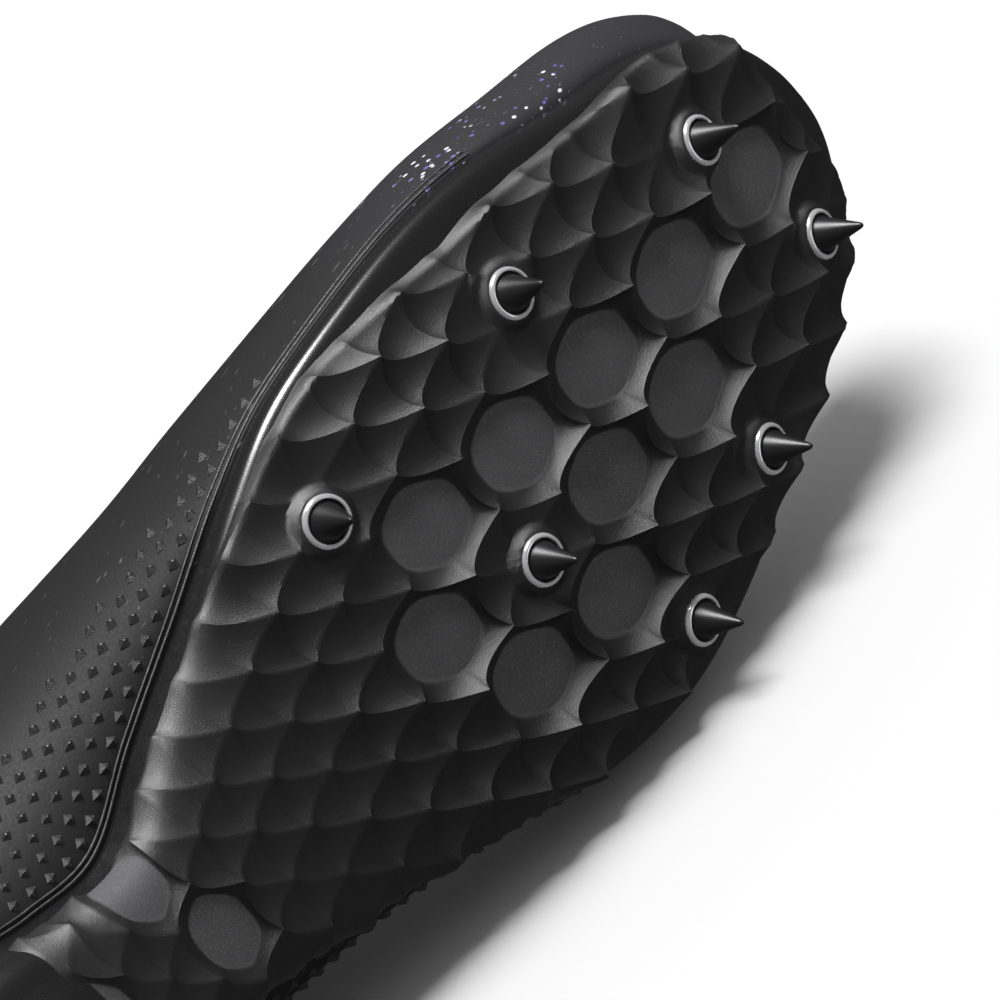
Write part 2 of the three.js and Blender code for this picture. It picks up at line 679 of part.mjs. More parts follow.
const SEAT_FLOOR = SEAT_HEIGHT - SEAT_DEPTH;
const STUD_BASE = SEAT_FLOOR + CLEARANCE;

// Plain cylinder between two heights over a seat
function seatCylinder(seat, diameter, low, high) {
  const geometry = new THREE.CylinderGeometry(diameter / 2, diameter / 2, high - low, STUD_SIDES);
  geometry.translate(0, (low + high) / 2, 0);
  return toSolid(placeOnSeat(geometry, seat));
}

// Outsole plate with its relief, edge teeth and spike seats
function makePlate() {
  let plate = plateBody().add(reliefSolid().intersect(reliefArea()));
  for (let k = 0; k < TOOTH_COUNT; k += 1) {
    plate = plate.add(edgeTooth(FIRST_TOOTH + (LAST_TOOTH - FIRST_TOOTH) * (k / (TOOTH_COUNT - 1))));
  }
  for (const seat of SPIKE_SEATS) {
    plate = plate.subtract(seatCylinder(seat, SEAT_DIAMETER, SEAT_HEIGHT, 3 * PEAK_HEIGHT));
    plate = plate.add(seatCylinder(seat, SEAT_DIAMETER, -LUG_ROOT, SEAT_HEIGHT));
  }
  for (const seat of SPIKE_SEATS) {
    plate = plate.subtract(seatCylinder(seat, RING_OUTER + 2 * CLEARANCE, SEAT_FLOOR, SEAT_HEIGHT + PEAK_HEIGHT));
    const hole = STEM_DIAMETER + 2 * CLEARANCE;
    plate = plate.subtract(seatCylinder(seat, hole, STUD_BASE - STEM_LENGTH - CLEARANCE, SEAT_FLOOR + 0.1));
  }
  return plate;
}

// Steel ring round a spike
function makeRing(seat) {
  const outer = RING_OUTER / 2;
  const inner = RING_INNER / 2;
  const top = STUD_BASE + RING_HEIGHT;
  const profile = [
    [inner, STUD_BASE], [outer, STUD_BASE], [outer, top - 0.5], [(outer + inner) / 2, top], [inner, STUD_BASE],
  ];
  return placeOnSeat(turned(profile), seat);
}

// Round solid turned about the y axis from a profile of radius and height, with its seam joined
function turned(profile) {
  const points = profile.map(([radius, height]) => new THREE.Vector2(radius, height));
  const geometry = new THREE.LatheGeometry(points, STUD_SIDES);
  geometry.deleteAttribute('normal');
  geometry.deleteAttribute('uv');
  return closedGeometry(Array.from(geometry.attributes.position.array), Array.from(geometry.index.array));
}

// Spike with its flange and the stem that screws into the plate
function makeSpike(seat) {
  const flangeTop = STUD_BASE + FLANGE_HEIGHT;
  const tipLevel = flangeTop + SPIKE_LENGTH;
  const profile = [
    [0, STUD_BASE - STEM_LENGTH], [STEM_DIAMETER / 2, STUD_BASE - STEM_LENGTH], [STEM_DIAMETER / 2, STUD_BASE],
    [FLANGE_DIAMETER / 2, STUD_BASE], [FLANGE_DIAMETER / 2, flangeTop], [SPIKE_BASE / 2, flangeTop + 0.4],
    [SPIKE_TIP / 2, tipLevel - 0.5], [0, tipLevel],
  ];
  return placeOnSeat(turned(profile), seat);
}

// Named mesh of one piece
function piece(name, geometry, finish) {
  const material = new THREE.MeshStandardMaterial(finish);
  const mesh = new THREE.Mesh(geometry, material);
  mesh.name = name;
  return mesh;
}

// Volume and first moment of a closed geometry
function volumeMoment(geometry) {
  const position = geometry.attributes.position;
  const index = geometry.index;
  const total = { volume: 0, moment: new THREE.Vector3() };
  for (let k = 0; k < index.count; k += 3) {
    const [a, b, c] = [0, 1, 2].map((n) => new THREE.Vector3().fromBufferAttribute(position, index.getX(k + n)));
    const volume = a.dot(b.clone().cross(c)) / 6;
    total.volume += volume;
    total.moment.addScaledVector(a.add(b).add(c), volume / 4);
  }
  return total;
}

// Face of the hull on the medial side that the shoe rests on: its centre of mass stands over it
function restingFace(geometries) {
  const centre = new THREE.Vector3();
  let volume = 0;
  const points = [];
  for (const geometry of geometries) {
    const part = volumeMoment(geometry);
    volume += part.volume;
    centre.add(part.moment);
    const position = geometry.attributes.position;
    for (let k = 0; k < position.count; k += 1) points.push(new THREE.Vector3().fromBufferAttribute(position, k));
  }
  centre.multiplyScalar(1 / volume);
  const hull = new ConvexHull().setFromPoints(points);
  let best = null;
  for (const face of hull.faces) {
    const corners = [face.edge, face.edge.next, face.edge.prev].map((edge) => edge.head().point);
    const flat = centre.clone().addScaledVector(face.normal, face.constant - face.normal.dot(centre));
    const over = new THREE.Triangle(...corners).containsPoint(flat);
    if (!over || (best !== null && face.normal.y <= best.normal.y)) continue;
    best = { normal: face.normal.clone(), constant: face.constant };
  }
  return best;
}

// Half space beyond the floor, as a box
function floorBox(face) {
  const size = 3 * LENGTH;
  const box = new THREE.BoxGeometry(size, size, size);
  const turn = new THREE.Quaternion().setFromUnitVectors(new THREE.Vector3(0, 0, 1), face.normal);
  box.applyQuaternion(turn);
  const middle = face.normal.clone().multiplyScalar(face.constant - REST_FLAT + size / 2);
  box.translate(middle.x, middle.y, middle.z);
  return toSolid(box);
}

const upperSolid = makeUpper();
const plateSolid = makePlate();
const rest = restingFace([toGeometry(upperSolid), toGeometry(plateSolid)]);
const floor = floorBox(rest);

const shoe = new THREE.Group();
shoe.add(piece('upper', toGeometry(upperSolid.subtract(floor)), BLACK_UPPER));
shoe.add(piece('outsole_plate', toGeometry(plateSolid.subtract(floor)), BLACK_PLATE));
shoe.add(piece('insole', toGeometry(makeInsole()), GREY_LINING));
shoe.add(piece('tongue', toGeometry(makeTongue()), GREY_LINING));
shoe.add(piece('laces', toGeometry(makeLaces()), BLACK_LACE));
SPIKE_SEATS.forEach((seat, k) => {
  shoe.add(piece(`spike_ring_${k + 1}`, makeRing(seat), STEEL));
  shoe.add(piece(`spike_${k + 1}`, makeSpike(seat), BLACK_SPIKE));
});

// Lays the shoe down: the resting face goes to the floor and the toe stays forward
const up = rest.normal.clone().negate();
const forward = new THREE.Vector3(1, 0, 0).addScaledVector(up, -up.x).normalize();
const across = up.clone().cross(forward);
const layDown = new THREE.Matrix4().makeBasis(forward, across, up).transpose();
shoe.quaternion.setFromRotationMatrix(layDown);
shoe.updateMatrixWorld(true);
const bounds = new THREE.Box3().setFromObject(shoe, true);
shoe.position.set(-(bounds.min.x + bounds.max.x) / 2, -(bounds.min.y + bounds.max.y) / 2, -bounds.min.z);

export default shoe;
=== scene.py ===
"""Looks of the track spike shoe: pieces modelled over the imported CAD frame, finishes, studio and camera.

All pieces are modelled in the upright shoe's own frame in millimetres, with x from the heel to the toe, y to
the medial side and z up, and are then laid down onto the row frame in metres.
"""

from __future__ import annotations

import logging
import math
from dataclasses import dataclass, field
from enum import Enum
from typing import Sequence

import bpy
import numpy as np
from mathutils import Matrix, Vector


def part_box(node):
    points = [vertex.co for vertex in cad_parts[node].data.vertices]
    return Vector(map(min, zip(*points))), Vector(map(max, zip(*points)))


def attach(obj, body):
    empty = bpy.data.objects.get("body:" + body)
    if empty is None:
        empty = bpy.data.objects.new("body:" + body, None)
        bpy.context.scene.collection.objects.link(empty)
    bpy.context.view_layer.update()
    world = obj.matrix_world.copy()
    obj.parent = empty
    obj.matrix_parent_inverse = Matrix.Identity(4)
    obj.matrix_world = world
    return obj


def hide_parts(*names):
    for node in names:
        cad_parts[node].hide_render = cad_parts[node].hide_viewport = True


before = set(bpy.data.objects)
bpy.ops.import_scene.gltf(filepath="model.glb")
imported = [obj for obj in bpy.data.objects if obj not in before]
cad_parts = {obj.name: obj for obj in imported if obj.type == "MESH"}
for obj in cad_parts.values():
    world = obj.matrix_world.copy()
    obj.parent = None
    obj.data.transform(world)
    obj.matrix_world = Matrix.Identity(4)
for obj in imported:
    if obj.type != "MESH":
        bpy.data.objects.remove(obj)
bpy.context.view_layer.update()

LOG = logging.getLogger("track_spike")
BODY = "root"
MM = 0.001

# Driving sizes in millimetres, as in the part's source
LENGTH = 286.0
BALL_WIDTH = 93.0
INSTEP_HEIGHT = 90.0
HEEL_HEIGHT = 62.0
TOE_SPRING = 16.0
ARCH_RISE = 7.0
HEEL_BEVEL = 3.0
HEEL_LEAN = 12.0
TOE_SWELL = 3.0
TOE_SWELL_RISE = 8.0
UPPER_WALL = 1.8
CLEARANCE = 0.3
TONGUE_CLEARANCE = 0.4
LACE_CLEARANCE = 0.45
EYESTAY_STEP = 0.8
EYESTAY_WIDTH = 15.0
EDGE_THICKNESS = 2.1
HEEL_THICKNESS = 15.0
CROWN_RADIUS = 230.0
EDGE_REACH = 0.58 * BALL_WIDTH
FOREFOOT_THICKNESS = EDGE_THICKNESS + EDGE_REACH**2 / (2 * CROWN_RADIUS)
BALL = 0.63
HEEL_CONTACT = 0.12
CROWN_CENTRE = -0.03
THROAT_FRONT = 0.7
THROAT_BACK = 0.3
THROAT_WIDTH = 25.0
SIDE_POWER = 0.92
SKY = 3 * INSTEP_HEIGHT
TIP_OVER_SOLE = 10.7
NARROWEST = 0.12
SLOPE_STEP = 0.5
CORD_SQUARENESS = 0.7

SECTION_COLUMNS = ("x", "lat_sole", "med_sole", "lat_side", "med_side", "side", "top", "ridge")
# One row for each section of the last: x is a share of the length, widths and ridge are shares of the ball width,
# side and top are shares of the instep height above the footbed.
SECTIONS = np.array([
    (0.000, 0.000, 0.000, 0.000, 0.000, 0.24, 0.78, 0.000),
    (0.007, -0.097, 0.097, -0.118, 0.118, 0.24, 0.83, 0.000),
    (0.028, -0.188, 0.188, -0.220, 0.220, 0.25, 0.88, 0.000),
    (0.070, -0.269, 0.269, -0.301, 0.301, 0.26, 0.94, 0.000),
    (0.140, -0.306, 0.301, -0.344, 0.339, 0.26, 0.98, 0.000),
    (0.217, -0.280, 0.263, -0.355, 0.339, 0.26, 1.00, 0.005),
    (0.280, -0.204, 0.199, -0.366, 0.339, 0.26, 0.99, 0.011),
    (0.332, -0.167, 0.188, -0.376, 0.349, 0.25, 0.95, 0.022),
    (0.392, -0.237, 0.258, -0.392, 0.371, 0.24, 0.87, 0.032),
    (0.455, -0.312, 0.328, -0.414, 0.403, 0.21, 0.77, 0.054),
    (0.521, -0.398, 0.419, -0.435, 0.457, 0.17, 0.67, 0.075),
    (0.580, -0.449, 0.505, -0.462, 0.522, 0.13, 0.58, 0.097),
    (0.654, -0.452, 0.554, -0.465, 0.565, 0.11, 0.49, 0.108),
    (0.724, -0.430, 0.546, -0.450, 0.557, 0.10, 0.43, 0.113),
    (0.790, -0.376, 0.511, -0.409, 0.522, 0.12, 0.39, 0.118),
    (0.857, -0.290, 0.468, -0.343, 0.478, 0.12, 0.35, 0.124),
    (0.916, -0.220, 0.414, -0.279, 0.425, 0.12, 0.31, 0.124),
    (0.958, -0.145, 0.360, -0.206, 0.372, 0.12, 0.28, 0.120),
    (0.986, -0.059, 0.285, -0.118, 0.300, 0.12, 0.25, 0.116),
    (0.998, 0.032, 0.215, -0.004, 0.236, 0.12, 0.22, 0.122),
    (1.000, 0.129, 0.129, 0.129, 0.129, 0.11, 0.19, 0.129),
])
LAST_ROW = len(SECTIONS) - 1

# The collar's line seen from the side: a share of the length and a share of the heel height
COLLAR = ((-0.05, 1.02), (0.03, 1.00), (0.10, 0.88), (0.18, 0.80), (0.26, 0.84), (0.33, 0.98), (0.375, 1.16),
          (0.40, 1.60))

# Spike seats: x is a share of the length, y of the ball width
SPIKE_SEATS = ((0.543, -0.265), (0.723, -0.227), (0.901, -0.049), (0.930, 0.280), (0.793, 0.397), (0.620, 0.101),
               (0.679, 0.458))


class Side(Enum):
    """The two sides of the foot, with the sign of y there."""

    LATERAL = -1
    MEDIAL = 1


def ease(t: np.ndarray | float) -> np.ndarray:
    """Smooth blend between 0 and 1."""
    c = np.clip(t, 0.0, 1.0)
    return c * c * (3 - 2 * c)


class ShoeForm:
    """The last and the sole's smooth surface as functions, upright, in millimetres."""

    def __init__(self) -> None:
        """Samples the table of sections finely, to find the place of any x."""
        self.places = np.linspace(0, LAST_ROW, 20 * LAST_ROW + 1)
        self.shares = self.rows(self.places)[:, 0]

    def rows(self, place: np.ndarray) -> np.ndarray:
        """Values of all the table's columns between its rows, on a smooth curve.

        Args:
            place: places between the rows, 0 for the first.

        Returns:
            One row of columns for each place.
        """
        place = np.clip(np.atleast_1d(np.asarray(place, float)), 0, LAST_ROW)
        k = np.clip(np.floor(place).astype(int), 0, LAST_ROW - 1)
        t = (place - k)[:, None]
        a, b, c, d = (SECTIONS[np.clip(k + n, 0, LAST_ROW)] for n in (-1, 0, 1, 2))
        start = np.where((k == 0)[:, None], c - b, (c - a) / 2)
        end = np.where((k == LAST_ROW - 1)[:, None], c - b, (d - b) / 2)
        cubic = (2 * t**3 - 3 * t**2 + 1) * b + (3 * t**2 - 2 * t**3) * c
        return cubic + (t**3 - 2 * t**2 + t) * start + (t**3 - t**2) * end

    def place_of(self, x: np.ndarray) -> np.ndarray:
        """Place between the rows where x is reached."""
        return np.interp(np.asarray(x, float) / LENGTH, self.shares, self.places)

    def middle(self, x: np.ndarray) -> np.ndarray:
        """Height of the plate's underside along its middle: toe spring, arch and heel bevel."""
        x = np.asarray(x, float)
        ball = BALL * LENGTH
        heel = HEEL_CONTACT * LENGTH
        toe = TOE_SPRING * ((x - ball) / (LENGTH - ball)) ** 2
        arch = ARCH_RISE * np.sin(np.pi * (ball - x) / (ball - heel)) ** 2
        back = HEEL_BEVEL * ((heel - x) / heel) ** 2
        return np.where(x > ball, toe, np.where(x > heel, arch, back))

    def underside(self, x: np.ndarray, y: np.ndarray) -> np.ndarray:
        """Underside of the plate without its relief, crowned across the foot."""
        return self.middle(x) + (np.asarray(y) - CROWN_CENTRE * BALL_WIDTH) ** 2 / (2 * CROWN_RADIUS)

    def footbed(self, x: np.ndarray) -> np.ndarray:
        """Top of the plate, flat across the foot."""
        thinner = ease((np.asarray(x, float) / LENGTH - 0.15) / 0.4)
        return self.middle(x) + HEEL_THICKNESS + (FOREFOOT_THICKNESS - HEEL_THICKNESS) * thinner

    def out_of_sole(self, x: float, y: float) -> np.ndarray:
        """Direction out of the underside."""
        step = SLOPE_STEP
        slope_x = (self.underside(x + step, y) - self.underside(x - step, y)) / (2 * step)
        slope_y = (self.underside(x, y + step) - self.underside(x, y - step)) / (2 * step)
        way = np.array([float(slope_x), float(slope_y), -1.0])
        return way / np.linalg.norm(way)

    def section(self, place: np.ndarray) -> dict[str, np.ndarray]:
        """Sizes of the last's sections in millimetres.

        Args:
            place: places between the table's rows.

        Returns:
            Arrays by name: x, base, lat_sole, med_sole, lat_side, med_side, side, top and ridge.
        """
        cols = dict(zip(SECTION_COLUMNS, self.rows(place).T))
        x = cols["x"] * LENGTH
        base = self.footbed(np.clip(x, 0, LENGTH)) + CLEARANCE
        sizes = {"x": x, "base": base}
        for key in ("lat_sole", "med_sole", "lat_side", "med_side", "ridge"):
            sizes[key] = cols[key] * BALL_WIDTH
        for key in ("side", "top"):
            sizes[key] = base + cols[key] * INSTEP_HEIGHT
        return sizes

    def lean(self, x: np.ndarray, height: np.ndarray) -> np.ndarray:
        """How far the heel's back leans in over its widest point, and the toe swells out over the plate."""
        behind = 1 - ease(np.asarray(x) / (0.25 * LENGTH))
        over = (height - 0.4 * HEEL_HEIGHT) / HEEL_HEIGHT
        swell = TOE_SWELL * ease((np.asarray(x) / LENGTH - 0.8) / 0.2) * ease(height / TOE_SWELL_RISE)
        return HEEL_LEAN * behind * over * over + swell

    def side_line(self, s: dict[str, np.ndarray], side: Side, low: int, high: int) -> np.ndarray:
        """One side of each section, from the sole's edge out to the widest point and up to the ridge.

        Args:
            s: sections from section().
            side: which side of the foot.
            low: steps below the widest point.
            high: steps above it.

        Returns:
            Array of sections, points and (y, z).
        """
        name = "lat" if side is Side.LATERAL else "med"
        sole, wide = s[f"{name}_sole"][:, None], s[f"{name}_side"][:, None]
        level, base, top, ridge = (s[key][:, None] for key in ("side", "base", "top", "ridge"))
        a = np.linspace(0, np.pi / 2, low + 1)[None, :]
        b = np.linspace(0, np.pi / 2, high + 1)[None, 1:]
        y = np.hstack([sole + (wide - sole) * np.sin(a), ridge + (wide - ridge) * np.abs(np.cos(b)) ** SIDE_POWER])
        z = np.hstack([level - (level - base) * np.cos(a), level + (top - level) * np.sin(b)])
        return np.stack([y, z], -1)

    def rings(self, count: int, low: int, high: int, bottom: int, growth: float = 0.0) -> np.ndarray:
        """Closed rings of the last, the last point of each ring equal to its first.

        Args:
            count: steps from the heel to the toe.
            low: steps of a side below its widest point.
            high: steps above it.
            bottom: steps across the bottom.
            growth: how far the form is grown all round, below zero to shrink it.

        Returns:
            Array of rings, points and (x, y, z).
        """
        s = self.section(np.linspace(0, LAST_ROW, count + 1))
        for level in ("sole", "side"):
            low_y, high_y = s[f"lat_{level}"], s[f"med_{level}"]
            half = (high_y - low_y) / 2
            spread = np.where(half > 0, np.maximum(half + growth, NARROWEST * half) - half, 0.0)
            s[f"lat_{level}"], s[f"med_{level}"] = low_y - spread, high_y + spread
        s["base"] = s["base"] - growth
        s["top"] = s["top"] + growth
        lateral = self.side_line(s, Side.LATERAL, low, high)
        medial = self.side_line(s, Side.MEDIAL, low, high)[:, ::-1][:, 1:]
        share = np.linspace(0, 1, bottom + 1)[None, 1:]
        across = s["med_sole"][:, None] * (1 - share) + s["lat_sole"][:, None] * share
        under = np.stack([across, np.repeat(s["base"][:, None], bottom, 1)], -1)
        flat = np.concatenate([lateral, medial, under], 1)
        x = s["x"][:, None] + self.lean(s["x"][:, None], flat[..., 1] - s["base"][:, None])
        x = LENGTH / 2 + (x - LENGTH / 2) * (1 + 2 * growth / LENGTH)
        return np.concatenate([x[..., None], flat], -1)

    def ridge_at(self, x: np.ndarray) -> np.ndarray:
        """Line of the ridge over the throat."""
        return self.section(self.place_of(x))["ridge"]

    def instep_height(self, x: np.ndarray, y: np.ndarray, growth: float) -> np.ndarray:
        """Height of the last's upper side over a place in plan, raised square to the surface.

        Args:
            x: places along the foot.
            y: places across it.
            growth: how far above the surface.

        Returns:
            Heights.
        """
        x, y = np.broadcast_arrays(np.atleast_1d(np.asarray(x, float)), np.atleast_1d(np.asarray(y, float)))

        def height(along: np.ndarray, across: np.ndarray) -> np.ndarray:
            """Height of the bare surface."""
            s = self.section(self.place_of(along))
            wide = np.where(across < s["ridge"], s["lat_side"], s["med_side"])
            share = np.clip(np.abs((across - s["ridge"]) / (wide - s["ridge"])), 0, 1) ** (1 / SIDE_POWER)
            return s["side"] + (s["top"] - s["side"]) * np.sqrt(1 - share * share)

        step = SLOPE_STEP
        slope_x = (height(x + step, y) - height(x - step, y)) / (2 * step)
        slope_y = (height(x, y + step) - height(x, y - step)) / (2 * step)
        return height(x, y) + growth * np.sqrt(slope_x**2 + slope_y**2 + 1)

    def up_side(self, x: np.ndarray, rise: np.ndarray, side: Side) -> tuple[np.ndarray, np.ndarray]:
        """Points of the upper's side and the directions out of it.

        Args:
            x: places along the foot.
            rise: distances up the side from the sole's edge, measured over the surface.
            side: which side of the foot.

        Returns:
            Points and outward directions, one row each.
        """
        x, rise = (np.atleast_1d(np.asarray(v, float)) for v in np.broadcast_arrays(x, rise))
        s = self.section(self.place_of(x))
        line = self.side_line(s, side, 12, 48)
        reach = np.hypot(*np.moveaxis(np.diff(line, axis=1), -1, 0))
        run = np.hstack([np.zeros((len(x), 1)), np.cumsum(reach, 1)])
        points = np.zeros((len(x), 3))
        ways = np.zeros((len(x), 3))
        for k, (along, up) in enumerate(zip(x, rise)):
            y, z = (np.interp(up, run[k], line[k, :, n]) for n in (0, 1))
            near_y, near_z = (np.interp(up + 1.0, run[k], line[k, :, n]) for n in (0, 1))
            points[k] = (along + float(self.lean(along, z - s["base"][k])), y, z)
            way = np.array([0.0, near_z - z, -(near_y - y)]) * side.value
            ways[k] = way / max(1e-6, float(np.linalg.norm(way)))
        return points, ways


FORM = ShoeForm()


def fitted_lay_down() -> Matrix:
    """Finds how the upright shoe lies in the row frame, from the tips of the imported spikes.

    Returns:
        Matrix from upright millimetres to metres in the row frame.
    """
    upright, laid = [], []
    for k, (share_x, share_y) in enumerate(SPIKE_SEATS, 1):
        x, y = share_x * LENGTH, share_y * BALL_WIDTH
        foot = np.array([x, y, float(FORM.underside(x, y))])
        upright.append(foot + TIP_OVER_SOLE * FORM.out_of_sole(x, y))
        low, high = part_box(f"spike_ring_{k}")
        middle = np.array((low + high) / 2)
        points = np.array([v.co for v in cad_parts[f"spike_{k}"].data.vertices])
        laid.append(points[np.argmax(np.linalg.norm(points - middle, axis=1))] / MM)
    a, b = np.array(upright), np.array(laid)
    u, _, vt = np.linalg.svd((a - a.mean(0)).T @ (b - b.mean(0)))
    flip = np.diag([1.0, 1.0, np.sign(np.linalg.det(vt.T @ u.T))])
    turn = vt.T @ flip @ u.T
    move = b.mean(0) - turn @ a.mean(0)
    LOG.info("lay-down fit is within %.4f mm", np.abs(a @ turn.T + move - b).max())
    matrix = Matrix(turn.tolist()).to_4x4()
    matrix.translation = Vector(move.tolist())
    return Matrix.Scale(MM, 4) @ matrix


LAY_DOWN = fitted_lay_down()


class Bench:
    """Modelling moves that the pieces share."""

    @staticmethod
    def only(*objs: bpy.types.Object) -> None:
        """Selects these objects alone and makes the first active."""
        if bpy.context.object and bpy.context.object.mode != "OBJECT":
            bpy.ops.object.mode_set(mode="OBJECT")
        bpy.ops.object.select_all(action="DESELECT")
        for obj in objs:
            obj.select_set(True)
        bpy.context.view_layer.objects.active = objs[0]

    @staticmethod
    def clear() -> None:
        """Deselects everything."""
        if bpy.context.object and bpy.context.object.mode != "OBJECT":
            bpy.ops.object.mode_set(mode="OBJECT")
        bpy.ops.object.select_all(action="DESELECT")

    @staticmethod
    def named(name: str) -> bpy.types.Object:
        """Names the newest primitive and returns it."""
        obj = bpy.context.object
        obj.name = name
        obj.data.name = name
        return obj

    @staticmethod
    def points(obj: bpy.types.Object) -> np.ndarray:
        """Places of an object's vertices."""
        flat = np.zeros(len(obj.data.vertices) * 3, np.float32)
        obj.data.vertices.foreach_get("co", flat)
        return flat.reshape(-1, 3).astype(float)

    @staticmethod
    def move_points(obj: bpy.types.Object, places: np.ndarray) -> None:
        """Moves an object's vertices to new places."""
        obj.data.vertices.foreach_set("co", np.ascontiguousarray(places, np.float32).ravel())
        obj.data.update()

    @classmethod
    def edit_all(cls, obj: bpy.types.Object) -> None:
        """Enters edit mode with everything selected."""
        cls.only(obj)
        bpy.ops.object.mode_set(mode="EDIT")
        bpy.ops.mesh.select_all(action="SELECT")

    @classmethod
    def pick_faces(cls, obj: bpy.types.Object, chosen: np.ndarray) -> None:
        """Enters edit mode with these faces alone selected."""
        cls.only(obj)
        bpy.context.tool_settings.mesh_select_mode = (False, False, True)
        for part in (obj.data.vertices, obj.data.edges):
            part.foreach_set("select", np.zeros(len(part), bool))
        obj.data.polygons.foreach_set("select", np.asarray(chosen, bool))
        bpy.ops.object.mode_set(mode="EDIT")

    @classmethod
    def clean(cls, obj: bpy.types.Object, gap: float = 0.002) -> None:
        """Merges doubles and turns the faces outwards."""
        cls.edit_all(obj)
        bpy.ops.mesh.remove_doubles(threshold=gap)
        bpy.ops.mesh.dissolve_degenerate(threshold=gap / 2)
        bpy.ops.mesh.normals_make_consistent(inside=False)
        bpy.ops.object.mode_set(mode="OBJECT")

    @classmethod
    def loft(cls, name: str, rings: np.ndarray) -> bpy.types.Object:
        """Closed solid through rings: a grid whose lines are moved onto them and then joined.

        Args:
            name: name of the piece.
            rings: array of rings, points and (x, y, z), each ring's last point equal to its first and the end
                rings folded shut.

        Returns:
            The new object.
        """
        rows, cols = rings.shape[0] - 1, rings.shape[1] - 1
        cls.clear()
        bpy.ops.mesh.primitive_grid_add(x_subdivisions=rows, y_subdivisions=cols, size=2)
        obj = cls.named(name)
        at = cls.points(obj)
        i = np.rint((at[:, 0] + 1) / 2 * rows).astype(int)
        j = np.rint((at[:, 1] + 1) / 2 * cols).astype(int)
        cls.move_points(obj, rings[i, j])
        cls.clean(obj)
        return obj

    @classmethod
    def tube(cls, name: str, path: np.ndarray, out: np.ndarray, wide: float, high: float,
             sides: int) -> bpy.types.Object:
        """Rounded cord or ribbon along a path.

        Args:
            name: name of the piece.
            path: points along its middle.
            out: direction out of the surface at each point.
            wide: full width across the path, along the surface.
            high: full thickness out of the surface.
            sides: points round it.

        Returns:
            The new object.
        """
        along = np.vstack([path[1:], path[-1:]]) - np.vstack([path[:1], path[:-1]])
        along /= np.maximum(np.linalg.norm(along, axis=1), 1e-9)[:, None]
        out = out - along * np.sum(out * along, 1)[:, None]
        out /= np.maximum(np.linalg.norm(out, axis=1), 1e-9)[:, None]
        across = np.cross(along, out)
        angle = np.linspace(0, 2 * np.pi, sides + 1)
        angle[-1] = 0.0
        c, s = (np.sign(v) * np.abs(v) ** CORD_SQUARENESS for v in (np.cos(angle), np.sin(angle)))
        rings = (path[:, None, :] + across[:, None, :] * (c * wide / 2)[None, :, None]
                 + out[:, None, :] * (s * high / 2)[None, :, None])
        caps = rings[:, :-1].mean(1)
        first, last = (np.repeat(cap[None, None], sides + 1, 1) for cap in (caps[0], caps[-1]))
        return cls.loft(name, np.concatenate([first, rings, last], 0))

    @classmethod
    def prism(cls, name: str, outline: np.ndarray, low: float, high: float, upright: bool = True) -> bpy.types.Object:
        """Prism over an outline in plan, or across the foot over an outline seen from the side.

        Args:
            name: name of the cutter.
            outline: points (x, y), or (x, z) where it isn't upright.
            low: where it starts, along z, or along y where it isn't upright.
            high: where it ends.
            upright: whether the outline is in plan.

        Returns:
            The new object.
        """
        cls.clear()
        bpy.ops.mesh.primitive_circle_add(vertices=len(outline), radius=1, fill_type="NGON")
        obj = cls.named(name)
        level = np.full(len(outline), low)
        flat = np.asarray(outline, float)
        places = np.column_stack([flat[:, 0], flat[:, 1], level] if upright else [flat[:, 0], level, flat[:, 1]])
        cls.move_points(obj, places)
        cls.edit_all(obj)
        way = (0, 0, high - low) if upright else (0, high - low, 0)
        bpy.ops.mesh.extrude_region_move(TRANSFORM_OT_translate={"value": way})
        bpy.ops.mesh.select_all(action="SELECT")
        bpy.ops.mesh.normals_make_consistent(inside=False)
        bpy.ops.object.mode_set(mode="OBJECT")
        return obj

    @classmethod
    def apply(cls, obj: bpy.types.Object, kind: str, **settings: object) -> None:
        """Adds a modifier with these settings and applies it."""
        cls.only(obj)
        modifier = obj.modifiers.new(kind.title(), kind)
        for key, value in settings.items():
            setattr(modifier, key, value)
        bpy.ops.object.modifier_apply(modifier=modifier.name)

    @classmethod
    def cut(cls, obj: bpy.types.Object, cutter: bpy.types.Object, operation: str = "DIFFERENCE") -> None:
        """Cuts a piece with another by an exact Boolean, and removes the cutter."""
        cls.apply(obj, "BOOLEAN", operation=operation, object=cutter, solver="EXACT")
        bpy.data.objects.remove(cutter)

    @classmethod
    def join(cls, objs: Sequence[bpy.types.Object]) -> bpy.types.Object:
        """Joins pieces into the first."""
        cls.only(*objs)
        bpy.ops.object.join()
        return objs[0]

    @classmethod
    def copy(cls, obj: bpy.types.Object, name: str) -> bpy.types.Object:
        """Copy with a mesh of its own."""
        twin = obj.copy()
        twin.data = obj.data.copy()
        twin.name = name
        twin.data.name = name
        bpy.context.scene.collection.objects.link(twin)
        return twin

    @classmethod
    def scatter(cls, name: str, template: bpy.types.Object, places: np.ndarray, out: np.ndarray,
                along: np.ndarray) -> bpy.types.Object:
        """Copies a small shape to many places and joins the copies.

        Args:
            name: name of the joined piece.
            template: the shape, its z out of the surface and its x along it; it is removed.
            places: where the copies go.
            out: directions out of the surface there.
            along: directions along it.

        Returns:
            The joined object.
        """
        shape = cls.points(template)
        twins = []
        for k, (place, way, ahead) in enumerate(zip(places, out, along)):
            z = way / np.linalg.norm(way)
            x = ahead - z * float(ahead @ z)
            x /= np.linalg.norm(x)
            twin = cls.copy(template, f"{name}_{k}")
            cls.move_points(twin, shape @ np.stack([x, np.cross(z, x), z]) + place)
            twins.append(twin)
        bpy.data.objects.remove(template)
        joined = cls.join(twins)
        joined.name = name
        joined.data.name = name
        return joined

